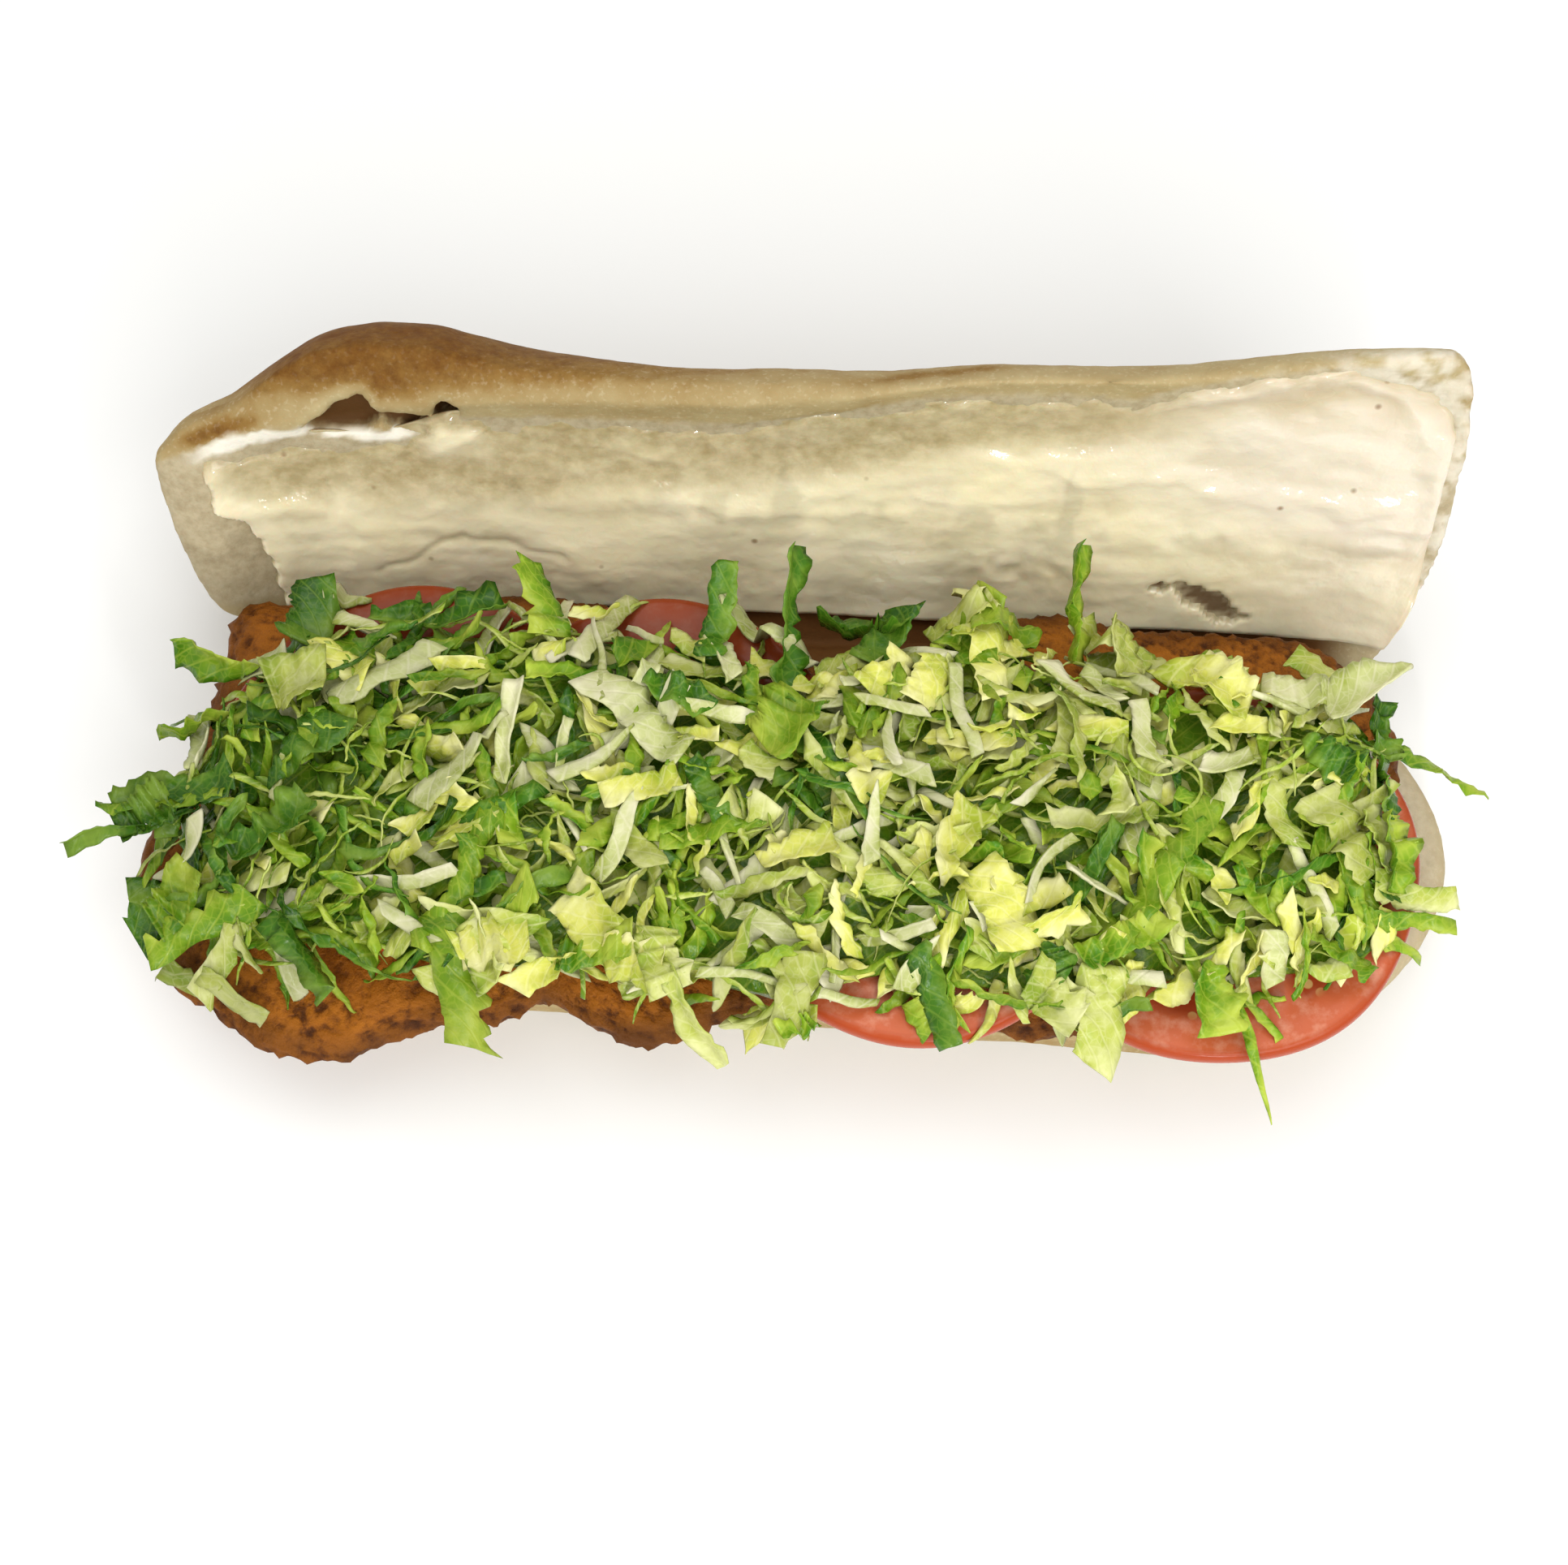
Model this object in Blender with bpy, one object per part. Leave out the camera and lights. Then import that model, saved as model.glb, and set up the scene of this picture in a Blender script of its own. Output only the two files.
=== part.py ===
# Submarine sandwich, lying open on its hinge.
# The roll is cut along its front and still joined along its back. The lower half lies flat, and the lid
# leans back with its hollowed cut face to the front, coated with mayonnaise. On the lower half lie two
# breaded cutlets, four tomato slices that overlap like tiles, and a heap of shredded lettuce.
# Units are metres. +X runs along the roll, +Y towards the hinge, +Z up.
# The origin is the middle of the flat underside of the roll.

import math
import random

import bmesh
import bpy
from mathutils import Vector, noise

MM = 0.001
GAP = 0.3 * MM
WELD = 0.004 * MM

# Lower half of the roll
BASE_LEFT = -121 * MM
BASE_RIGHT = 128.5 * MM
BASE_BACK = 42 * MM
BASE_FRONT = -37.6 * MM
BASE_SKEW = -0.031
BASE_TOP = 22 * MM
BASE_WAIST = 12 * MM
BASE_END_LENGTH = 58 * MM
BASE_BLUNTNESS = 0.05

# Lid: v runs up its cut face from the hinge, w runs from that face into the bread
HINGE_Y = 42 * MM
HINGE_Z = 22 * MM
LID_LEAN = math.radians(65)
LID_UP = Vector((0, math.cos(LID_LEAN), math.sin(LID_LEAN)))
LID_BACK = Vector((0, math.sin(LID_LEAN), -math.cos(LID_LEAN)))
# Pairs of x and size along the roll, in millimetres
LID_LOW_EDGE = (
    (-129.5, 31), (-127, 17), (-124.5, 7), (-121.5, 0), (-117, -3), (-110, -6), (-100, -11),
    (106, -11), (115, -1), (120, 14), (123, 30),
)
LID_CUT_EDGE = (
    (-129.5, 38), (-123, 43), (-97, 49.4), (-84, 52), (-72, 55), (-18, 57.5),
    (12, 61.5), (33, 65), (55, 66), (73, 67.5), (102, 72.4), (116, 74), (120, 70), (123, 50),
)
LID_RIM = (
    (-129.5, 1.5), (-125, 3), (-116, 4), (-108, 8.5), (-101, 12.5), (-95, 14.3), (-88, 14), (-80, 12),
    (-70, 8.5), (-60, 6), (-39, 4.2), (-10, 2.8), (12, 0.8), (40, 0.6), (60, 0.6), (80, 0.9), (123, 1.2),
)
LID_DEPTH = (
    (-129.5, 5), (-127, 12), (-120, 21), (-105, 29), (-84, 33), (-50, 28),
    (-10, 23), (50, 21), (100, 18), (119, 15), (123, 9),
)
LID_HOLLOW = ((-129.5, 0), (-121, -1.5), (-110, 2.5), (-90, 5), (0, 6), (80, 5), (115, 3), (123, 0.5))
LID_ROUNDNESS = 2.4
TEAR_LEFT, TEAR_RIGHT = -123, -63
TEAR_DEPTH = 9
TEAR_PLACE = 0.93

# Mayonnaise on the lid
MAYO_LEFT, MAYO_RIGHT = -119, 118
MAYO_LOW = 4.5
MAYO_TOP = ((-119, 38), (-100, 45), (-64, 49), (-25, 47.5), (10, 53), (28, 58), (73, 63), (104, 68), (118, 66))
MAYO_THICKNESS = 1.5 * MM
MAYO_RIDGE = 0.8 * MM
MAYO_GAP = 0.55 * MM

# Breaded cutlets: middle, half sizes, and swellings of the outline as (direction in degrees, growth, spread)
CUTLET_BOTTOM = BASE_TOP + GAP
CUTLET_THICKNESS = 10.4 * MM
CUTLET_SQUARENESS = 3.0
CUTLETS = {
    "cutlet_left": (
        (-57, -0.5), (70.5, 43.5),
        ((145, 8, 6), (167, -6, 13), (196, 3, 10), (212, 5, 12), (231, 11, 14), (240, 2.5, 4), (283, -6, 10), (302, 4, 12),
         (90, 2, 30)),
    ),
    "cutlet_right": (
        (66.5, 0.5), (47.5, 42),
        ((45, 4, 20), (20, 3, 15), (120, 5, 18), (163, -3, 16), (238, 3, 16), (262, -3, 14), (300, -4, 15)),
    ),
}
CRAG_HEIGHT = 1.3 * MM
CRAG_SIZE = 9 * MM

# Tomato slices, each with its right side on the left side of the next
TOMATO_THICKNESS = 4.6 * MM
TOMATO_TILT = math.radians(5.5)
TOMATO_LOWEST = CUTLET_BOTTOM + CUTLET_THICKNESS + 0.1 * MM
TOMATOES = (
    ("tomato_1", (-78, 4), 37.5),
    ("tomato_2", (-31, 3), 37.8),
    ("tomato_3", (22, -7), 40.5),
    ("tomato_4", (79, -11.5), 37.6),
)

# Lettuce
# Outline of the heap to the front and to the back, as pairs of x and y in millimetres
HEAP_FRONT = (
    (-125, -20), (-118, -33), (-104, -39), (-84, -39), (-61, -44), (-44, -41), (-28, -41), (-8, -46),
    (17, -41), (47, -45), (60, -41), (86, -39), (103, -36), (111, -26), (115, -14),
)
HEAP_BACK = (
    (-125, -12), (-120, 6), (-113, 20), (-98, 31), (-70, 35), (-42, 34), (-16, 29), (-5, 22),
    (12, 29), (40, 32), (57, 26), (75, 27), (100, 27), (109, 18), (115, -6),
)
HEAP_LEFT, HEAP_RIGHT = -125 * MM, 115 * MM
HEAP_RISE = 10.5 * MM
HEAP_CELL = 10.5 * MM
SHRED_THICKNESS = 0.9 * MM
SHRED_STEPS = 4
SHRED_ROWS = 4
SHREDS_A_ROW = 13
# Shreds that stand out of the heap: x and y of the root, heading in degrees, length, width, rise of the tip
STRAY_SHREDS = (
    (-108, -2, 196, 30, 6, -3), (-113, -12, 200, 31, 5, -5), (-106, 20, 160, 18, 8, 1),
    (-108, -22, 214, 20, 7, -2), (-104, -30, 235, 16, 6, -4), (-66, -28, 285, 24, 9, -6),
    (-30, -32, 300, 26, 6, -6), (0, -34, 262, 16, 7, -3), (20, -32, 292, 18, 5, -4),
    (78, -34, 292, 27, 5, -7), (56, -34, 262, 18, 9, -4), (98, -28, 318, 22, 7, -2),
    (106, -18, 345, 24, 7, -2), (106, -10, 338, 22, 6, -1), (104, 14, 340, 34, 7, -2),
    (-93, 24, 84, 20, 9, 5), (-20, 23, 86, 24, 6, 10), (-6, 17, 88, 30, 6, 12),
    (10, 24, 60, 20, 9, 4), (49, 26, 88, 20, 6, 13), (78, 22, 50, 24, 11, 5),
    (96, 16, 30, 20, 9, 3), (-50, 26, 110, 16, 7, 4), (30, 24, 80, 16, 8, 5),
)


def material(name, colour, roughness):
    made = bpy.data.materials.new(name)
    made.use_nodes = True
    shader = made.node_tree.nodes["Principled BSDF"]
    shader.inputs["Base Color"].default_value = (*colour, 1)
    shader.inputs["Roughness"].default_value = roughness
    return made


def add_object(name, points, faces, finish):
    """One closed mesh with its faces pointing out, shaded smooth up to a crease of 50 degrees."""
    shape = bmesh.new()
    corners = [shape.verts.new(p) for p in points]
    for face in faces:
        shape.faces.new([corners[i] for i in face])
    bmesh.ops.recalc_face_normals(shape, faces=shape.faces)
    mesh = bpy.data.meshes.new(name)
    shape.to_mesh(mesh)
    shape.free()
    mesh.materials.append(finish)
    mesh.shade_smooth()
    mesh.set_sharp_from_angle(angle=math.radians(50))
    made = bpy.data.objects.new(name, mesh)
    bpy.context.scene.collection.objects.link(made)
    return made


def loft(rings):
    """Points and faces of a closed skin over rings of equally many points, with a fan over each end."""
    count = len(rings[0])
    points = [p for ring in rings for p in ring]
    faces = []
    for r in range(len(rings) - 1):
        for k in range(count):
            a, b = r * count + k, r * count + (k + 1) % count
            faces.append((a, b, b + count, a + count))
    for ring, start in ((rings[0], 0), (rings[-1], (len(rings) - 1) * count)):
        points.append(sum(ring, Vector()) / count)
        faces += [(start + k, start + (k + 1) % count, len(points) - 1) for k in range(count)]
    return points, faces


def sized(x, pairs):
    """Size at x, both in millimetres, on a smooth curve through the pairs."""
    if x <= pairs[0][0]:
        return pairs[0][1]
    if x >= pairs[-1][0]:
        return pairs[-1][1]
    last = len(pairs) - 1
    i = next(k for k in range(last) if x <= pairs[k + 1][0])
    (x0, y0), (x1, y1) = pairs[i], pairs[i + 1]
    slope = (y1 - y0) / (x1 - x0)
    before = (y0 - pairs[i - 1][1]) / (x0 - pairs[i - 1][0]) if i > 0 else slope
    after = (pairs[i + 2][1] - y1) / (pairs[i + 2][0] - x1) if i + 1 < last else slope
    # Where the curve turns back the tangent is level, so that it never overshoots a pair.
    start = 0 if before * slope <= 0 else 2 * before * slope / (before + slope)
    end = 0 if after * slope <= 0 else 2 * after * slope / (after + slope)
    t = (x - x0) / (x1 - x0)
    h = x1 - x0
    return (
        (2 * t**3 - 3 * t**2 + 1) * y0 + (t**3 - 2 * t**2 + t) * h * start
        + (3 * t**2 - 2 * t**3) * y1 + (t**3 - t**2) * h * end
    )


def signed_power(value, power):
    return math.copysign(abs(value) ** power, value)


def stations(left, right, count):
    """Places along the roll, closer together towards both ends."""
    middle, half = (left + right) / 2, (right - left) / 2
    return [middle - half * math.cos(math.pi * i / (count - 1)) for i in range(count)]


def base_fullness(x):
    """1 along the roll, falling to 0 at its two rounded ends."""
    into_end = max(BASE_LEFT + BASE_END_LENGTH - x, x - (BASE_RIGHT - BASE_END_LENGTH), 0) / BASE_END_LENGTH
    return max(1 - into_end**2, 0.0) ** 0.5


def base_ring(x, count=22):
    full = max(base_fullness(x), BASE_BLUNTNESS)
    top = BASE_WAIST + (BASE_TOP - BASE_WAIST) * full**0.35
    deep = (BASE_WAIST + 1.6 * MM) * full**0.45
    front = BASE_FRONT + BASE_SKEW * x
    middle, half = (BASE_BACK + front) / 2, (BASE_BACK - front) / 2
    ring = []
    for k in range(count):
        angle = 2 * math.pi * k / count
        across, up = math.cos(angle), math.sin(angle)
        y = middle + half * full * signed_power(across, 0.75)
        z = BASE_WAIST + (top - BASE_WAIST) * up**0.36 if up > 0 else BASE_WAIST - deep * abs(up) ** 0.8
        ring.append(Vector((x, y, max(z, 0.0))))
    return ring


def roll_base(finish):
    rings = [base_ring(x) for x in stations(BASE_LEFT, BASE_RIGHT, 22)]
    return add_object("roll", *loft(rings), finish)


def lid_point(x, v, w):
    """Point of the lid, from x along the roll, v up its cut face and w into the bread, all in millimetres."""
    return Vector((x * MM, HINGE_Y, HINGE_Z)) + (v * LID_UP + w * LID_BACK) * MM


def tear_at(x):
    """Share of the tear's depth at x: the crust gapes away from the crumb near the left end."""
    along = (x - TEAR_LEFT) / (TEAR_RIGHT - TEAR_LEFT)
    return math.sin(math.pi * along**1.4) if 0 < along < 1 else 0.0


def face_hollow(x, v):
    """How deep the cut face lies behind the plane through its edges."""
    low, high = sized(x, LID_LOW_EDGE), sized(x, LID_CUT_EDGE)
    across = 2 * (v - low) / (high - low) - 1
    return sized(x, LID_HOLLOW) * (1 - min(abs(across), 1) ** 4)


def lid_ring(x):
    low, high = sized(x, LID_LOW_EDGE), sized(x, LID_CUT_EDGE)
    rim, depth = sized(x, LID_RIM), sized(x, LID_DEPTH)
    ring = []
    for place in (0.02, 0.08, 0.17, 0.3, 0.45, 0.6, 0.74, 0.85, 0.9, TEAR_PLACE, 0.965, 1.0):
        v = low + (high - low) * place
        torn = TEAR_DEPTH * tear_at(x) if place == TEAR_PLACE else 0
        ring.append(lid_point(x, v, face_hollow(x, v) + torn))
    top = high + rim
    middle, half = (top + low) / 2, (top - low) / 2
    for k in range(12):
        angle = math.pi * (0.5 - (k + 0.35) / 11.7)
        v = middle + half * signed_power(math.sin(angle), 2 / LID_ROUNDNESS)
        ring.append(lid_point(x, v, depth * abs(math.cos(angle)) ** (2 / LID_ROUNDNESS) - 0.8))
    return ring


def roll_lid(finish):
    left, right = LID_DEPTH[0][0], LID_DEPTH[-1][0]
    rings = [lid_ring(x) for x in stations(left, right, 28)]
    return add_object("lid_half", *loft(rings), finish)


def join(target, others, solver):
    """Fuses the others into target and removes them, keeping the one body that holds together."""
    helpers = bpy.data.collections.new(target.name + "_joined")
    bpy.context.scene.collection.children.link(helpers)
    for other in others:
        bpy.context.scene.collection.objects.unlink(other)
        helpers.objects.link(other)
    union = target.modifiers.new("Union", "BOOLEAN")
    union.operation = "UNION"
    union.operand_type = "COLLECTION"
    union.collection = helpers
    union.solver = solver
    graph = bpy.context.evaluated_depsgraph_get()
    fused = bpy.data.meshes.new_from_object(target.evaluated_get(graph))
    target.modifiers.clear()
    target.data = fused
    for other in others:
        bpy.data.objects.remove(other)
    bpy.data.collections.remove(helpers)
    keep_largest_body(target)


def keep_largest_body(made):
    """Drops loose scraps and the skins of hollows that fusing has sealed."""
    shape = bmesh.new()
    shape.from_mesh(made.data)
    bmesh.ops.triangulate(shape, faces=shape.faces)
    bmesh.ops.remove_doubles(shape, verts=shape.verts, dist=WELD)
    bmesh.ops.dissolve_degenerate(shape, edges=shape.edges, dist=WELD)
    seen, bodies = set(), []
    for face in shape.faces:
        if face in seen:
            continue
        body, edge = {face}, [face]
        while edge:
            shared = [e for f in edge for e in f.edges if len(e.link_faces) == 2]
            near = {g for e in shared for g in e.link_faces} - body
            body |= near
            edge = list(near)
        seen |= body
        bodies.append(body)
    largest = max(bodies, key=len)
    scraps = [f for f in shape.faces if f not in largest]
    bmesh.ops.delete(shape, geom=scraps, context="FACES")
    shape.to_mesh(made.data)
    shape.free()


def mayo_depth(x, v):
    """Height of the spread over the cut face: a coat with long, low ridges left by the knife."""
    ridge = noise.noise(Vector((x * 0.02, v * 0.14, 3.7)))
    swirl = noise.noise(Vector((x * 0.05, v * 0.06, 9.1)))
    return MAYO_THICKNESS + MAYO_RIDGE * max(-0.9, min(0.9, 1.3 * ridge + 0.9 * swirl))


def mayonnaise(finish):
    """A thin skin over the hollow of the lid, with a wandering upper edge."""
    columns, rows = 28, 8
    front, back = [], []
    for i in range(columns):
        x = MAYO_LEFT + (MAYO_RIGHT - MAYO_LEFT) * i / (columns - 1)
        end = min(i, columns - 1 - i)
        narrowing = (8, 2.5, 0.6)[end] if end < 3 else 0
        low = max(MAYO_LOW, sized(x, LID_LOW_EDGE) + 5) + narrowing
        high = sized(x, MAYO_TOP) - narrowing + 1.6 * noise.noise(Vector((x * 0.09, 0, 1.3)))
        for j in range(rows):
            v = low + (high - low) * j / (rows - 1)
            floor = face_hollow(x, v) - MAYO_GAP / MM
            at_edge = i in (0, columns - 1) or j in (0, rows - 1)
            height = 0.5 if at_edge else mayo_depth(x, v) / MM
            front.append(lid_point(x, v, floor - height))
            back.append(lid_point(x, v, floor))
    faces = []
    total = columns * rows
    for i in range(columns - 1):
        for j in range(rows - 1):
            a, b = i * rows + j, (i + 1) * rows + j
            faces.append((a, b, b + 1, a + 1))
            faces.append((total + a, total + a + 1, total + b + 1, total + b))
    rim = [j for j in range(rows)]
    rim += [i * rows + rows - 1 for i in range(1, columns)]
    rim += [(columns - 1) * rows + j for j in range(rows - 2, -1, -1)]
    rim += [i * rows for i in range(columns - 2, 0, -1)]
    for a, b in zip(rim, rim[1:] + rim[:1]):
        faces.append((a, b, b + total, a + total))
    return add_object("mayonnaise", front + back, faces, finish)


def angle_between(a, b):
    return abs((a - b + 180) % 360 - 180)


def cutlet_radius(name, angle):
    """Distance from the cutlet's middle to its edge in a direction: a squared oval with swellings."""
    _, (long_half, wide_half), swellings = CUTLETS[name]
    across, along = abs(math.cos(angle)) / long_half, abs(math.sin(angle)) / wide_half
    radius = (across**CUTLET_SQUARENESS + along**CUTLET_SQUARENESS) ** (-1 / CUTLET_SQUARENESS)
    for direction, growth, spread in swellings:
        radius += growth * math.exp(-(angle_between(math.degrees(angle), direction) / spread) ** 2)
    return radius * MM


def cutlet(name, finish):
    """A flat piece of meat in a thick crumb coat: uneven outline, rounded side and craggy faces."""
    (middle_x, middle_y), _, _ = CUTLETS[name]
    sectors = 34
    shares = (0.35, 0.68, 0.88, 0.97)
    middle_z = CUTLET_BOTTOM + CUTLET_THICKNESS / 2
    rings = []
    for side in (1, -1):
        for share in shares if side > 0 else reversed(shares):
            ring = []
            for k in range(sectors):
                angle = 2 * math.pi * k / sectors
                reach = cutlet_radius(name, angle)
                crag = noise.noise(Vector((reach * math.cos(angle) * share, reach * math.sin(angle) * share, side)) / CRAG_SIZE)
                reach *= share * (1 + 0.03 * crag * share)
                rise = CUTLET_THICKNESS / 2 * (1 - share**7) ** 0.5
                drop = CRAG_HEIGHT * (0.5 - 0.5 * crag) if share < 0.95 else 0
                x = middle_x * MM + reach * math.cos(angle)
                y = middle_y * MM + reach * math.sin(angle)
                ring.append(Vector((x, y, middle_z + side * max(rise - drop, 0.8 * MM))))
            rings.append(ring)
        if side > 0:
            waist = []
            for k in range(sectors):
                angle = 2 * math.pi * k / sectors
                reach = cutlet_radius(name, angle)
                x = middle_x * MM + reach * math.cos(angle)
                y = middle_y * MM + reach * math.sin(angle)
                waist.append(Vector((x, y, middle_z + 0.6 * MM * math.sin(5 * angle))))
            rings.append(waist)
    return add_object(name, *loft(rings), finish)


def tomato_heights():
    """Height of each slice's middle, so that overlapping slices lie face to face."""
    slope = math.tan(TOMATO_TILT)
    between = (TOMATO_THICKNESS + GAP) / math.cos(TOMATO_TILT)
    heights = [0.0]
    for (_, (x0, _), _), (_, (x1, _), _) in zip(TOMATOES, TOMATOES[1:]):
        heights.append(heights[-1] + (x1 - x0) * MM * slope - between)
    lowest = min(
        z - radius * MM * math.sin(TOMATO_TILT) - TOMATO_THICKNESS / 2
        for z, (_, _, radius) in zip(heights, TOMATOES)
    )
    return [z - lowest + TOMATO_LOWEST for z in heights]


def tomato_slice(name, middle, radius, height, finish):
    """A slice with a soft lobed outline, a bevelled rim and flesh that sags a little inside it."""
    sectors = 26
    sunk = 0.35 * MM
    half = TOMATO_THICKNESS / 2
    profile = ((0.3, half - sunk), (0.8, half - sunk), (0.93, half), (0.985, half - 0.5 * MM), (1.0, 0.0))
    profile += tuple((share, -rise) for share, rise in reversed(profile[:-1]))
    rings = []
    for share, rise in profile:
        ring = []
        for k in range(sectors):
            angle = 2 * math.pi * k / sectors
            reach = radius * MM * share * (1 + 0.012 * math.sin(5 * angle + radius) + 0.01 * math.sin(2 * angle))
            x, y = reach * math.cos(angle), reach * math.sin(angle)
            turned_x = x * math.cos(TOMATO_TILT) - rise * math.sin(TOMATO_TILT)
            turned_z = x * math.sin(TOMATO_TILT) + rise * math.cos(TOMATO_TILT)
            ring.append(Vector((middle[0] * MM + turned_x, middle[1] * MM + y, height + turned_z)))
        rings.append(ring)
    return add_object(name, *loft(rings), finish)


def top_under_lettuce(x, y, reach=5.5 * MM):
    """Highest point of the cutlets and tomato slices within reach of x, y, where the lettuce lies on them."""
    highest = CUTLET_BOTTOM - 1 * MM
    for name, ((middle_x, middle_y), _, _) in CUTLETS.items():
        dx, dy = x - middle_x * MM, y - middle_y * MM
        if math.hypot(dx, dy) < cutlet_radius(name, math.atan2(dy, dx)) + reach:
            highest = max(highest, CUTLET_BOTTOM + CUTLET_THICKNESS)
    for (_, (middle_x, middle_y), radius), height in zip(TOMATOES, tomato_heights()):
        dx, dy = x - middle_x * MM, y - middle_y * MM
        if math.hypot(dx, dy) < radius * MM * 1.022 + reach:
            rise = min(dx + reach, radius * MM) * math.tan(TOMATO_TILT)
            highest = max(highest, height + rise + TOMATO_THICKNESS / 2)
    return highest


def heap_share(x, y):
    """1 over the middle of the heap, 0 at its outline, negative outside."""
    front, back = sized(x / MM, HEAP_FRONT) * MM, sized(x / MM, HEAP_BACK) * MM
    across = (2 * y - front - back) / (back - front)
    along = (2 * x - HEAP_LEFT - HEAP_RIGHT) / (HEAP_RIGHT - HEAP_LEFT)
    return 1 - abs(across) ** 2.6 - abs(along) ** 9


def heap_top(x, y):
    """Upper surface of the bare heap, without the shreds on it."""
    share = min(max(heap_share(x, y), 0.0), 1.0)
    lumps = 2.6 * MM * noise.noise(Vector((x, y, 0.3)) / (17 * MM))
    return top_under_lettuce(x, y, HEAP_CELL) + 1.6 * MM + (HEAP_RISE + lumps) * share**0.55


def heap_core(finish):
    """Bare heap in rings across its length: the upper skin domed, the lower one on the food below."""
    across = 8
    rings = []
    for x in stations(HEAP_LEFT, HEAP_RIGHT, 30):
        front, back = sized(x / MM, HEAP_FRONT) * MM, sized(x / MM, HEAP_BACK) * MM
        places = [front + (back - front) * j / (across - 1) for j in range(across)]
        upper = [Vector((x, y, heap_top(x, y))) for y in places]
        lower = [Vector((x, y, top_under_lettuce(x, y, HEAP_CELL) + GAP)) for y in reversed(places)]
        rings.append(upper + lower)
    return add_object("lettuce", *loft(rings), finish)


def shred(name, root, heading, length, width, sag, turn, twist, finish):
    """A thin wavy strip of leaf. sag gives the height over the heap for each share of its length."""
    rings = []
    at = Vector((root[0], root[1], 0))
    for k in range(SHRED_STEPS + 1):
        share = k / SHRED_STEPS
        course = heading + turn * (share - 0.5)
        forward = Vector((math.cos(course), math.sin(course), 0))
        if k:
            at = at + forward * (length / SHRED_STEPS)
        side = Vector((-forward.y, forward.x, 0))
        tilt = twist * (share - 0.5)
        side = side * math.cos(tilt) + Vector((0, 0, math.sin(tilt)))
        up = Vector((0, 0, 1))
        half = width / 2 * (0.55 + 0.45 * math.sin(math.pi * (0.12 + 0.76 * share)))
        droop = half * abs(math.sin(tilt))
        floor = max(top_under_lettuce(at.x + s * half * side.x, at.y + s * half * side.y) for s in (-1, 0, 1))
        z = max(sag(at.x, at.y, share), floor + GAP + droop + 0.3 * MM)
        middle = Vector((at.x, at.y, z))
        wave = 0.5 * MM * math.sin(5 * share * math.pi)
        rings.append([
            middle - side * half + up * wave,
            middle + side * half - up * wave,
            middle + side * half + up * (SHRED_THICKNESS - wave),
            middle - side * half + up * (SHRED_THICKNESS + wave),
        ])
    return add_object(name, *loft(rings), finish)


def lying_shreds(finish):
    """Shreds spread evenly over the heap, their middles pressed into it and their ends lifted."""
    draw = random.Random(12)
    made = []
    for row in range(SHRED_ROWS):
        for column in range(SHREDS_A_ROW):
            across = (row + 0.5 + draw.uniform(-0.4, 0.4)) / SHRED_ROWS
            along = (column + 0.5 + draw.uniform(-0.45, 0.45)) / SHREDS_A_ROW
            x = HEAP_LEFT + (HEAP_RIGHT - HEAP_LEFT) * along
            front, back = sized(x / MM, HEAP_FRONT) * MM, sized(x / MM, HEAP_BACK) * MM
            y = front + (back - front) * across
            heading = draw.uniform(0, 2 * math.pi)
            length = draw.uniform(15, 31) * MM
            width = draw.uniform(4.5, 9) * MM
            lifts = draw.uniform(1, 5.5) * MM, draw.uniform(1, 5.5) * MM
            root = (x - math.cos(heading) * length / 2, y - math.sin(heading) * length / 2)

            def lie(px, py, share, lifts=lifts):
                lift = lifts[0] * (1 - 2 * share) ** 2 if share < 0.5 else lifts[1] * (2 * share - 1) ** 2
                return heap_top(px, py) - 0.8 * MM + lift

            turn, twist = draw.uniform(-0.9, 0.9), draw.uniform(-0.7, 0.7)
            made.append(shred(f"shred_{row}_{column}", root, heading, length, width, lie, turn, twist, finish))
    return made


def stray_shreds(finish):
    """Shreds that stick out past the heap, hang over the filling or stand up in front of the lid."""
    made = []
    for i, (x, y, heading, length, width, rise) in enumerate(STRAY_SHREDS):
        start = heap_top(x * MM, y * MM) - 2.6 * MM

        def reach_out(px, py, share, start=start, rise=rise):
            return start + rise * MM * share**1.6

        made.append(shred(
            f"stray_{i}", (x * MM, y * MM), math.radians(heading), length * MM, width * MM,
            reach_out, 1.1 * math.sin(2.1 * i), 0.6 * math.sin(1.7 * i + 1), finish,
        ))
    return made


def build():
    for old in list(bpy.data.objects):
        bpy.data.objects.remove(old)
    bread = material("bread", (0.72, 0.52, 0.31), 0.75)
    spread = material("mayonnaise", (0.84, 0.77, 0.56), 0.25)
    crumb_coat = material("fried_crumb", (0.46, 0.17, 0.035), 0.55)
    tomato = material("tomato", (0.66, 0.13, 0.08), 0.3)
    leaf = material("lettuce", (0.42, 0.56, 0.14), 0.45)
    roll = roll_base(bread)
    join(roll, [roll_lid(bread)], "EXACT")
    mayonnaise(spread)
    for name in CUTLETS:
        cutlet(name, crumb_coat)
    for (name, middle, radius), height in zip(TOMATOES, tomato_heights()):
        tomato_slice(name, middle, radius, height, tomato)
    heap = heap_core(leaf)
    join(heap, lying_shreds(leaf) + stray_shreds(leaf), "MANIFOLD")


build()
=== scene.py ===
# %% [markdown]
# # A submarine sandwich, lying open
# A long soft roll is cut along its front and folded open. The lid leans back and shows its cut face with
# mayonnaise, and the lower half carries two breaded cutlets, four tomato slices and a heap of shredded
# lettuce. The solids are loaded first. Each is then replaced by a finer piece at the same place, because
# food shows its making in small relief: crumb, crags, knife strokes and crinkles.

# %% Load the solids
import math
import random

import bpy
import numpy as np
from mathutils import Matrix, Vector, noise


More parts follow.
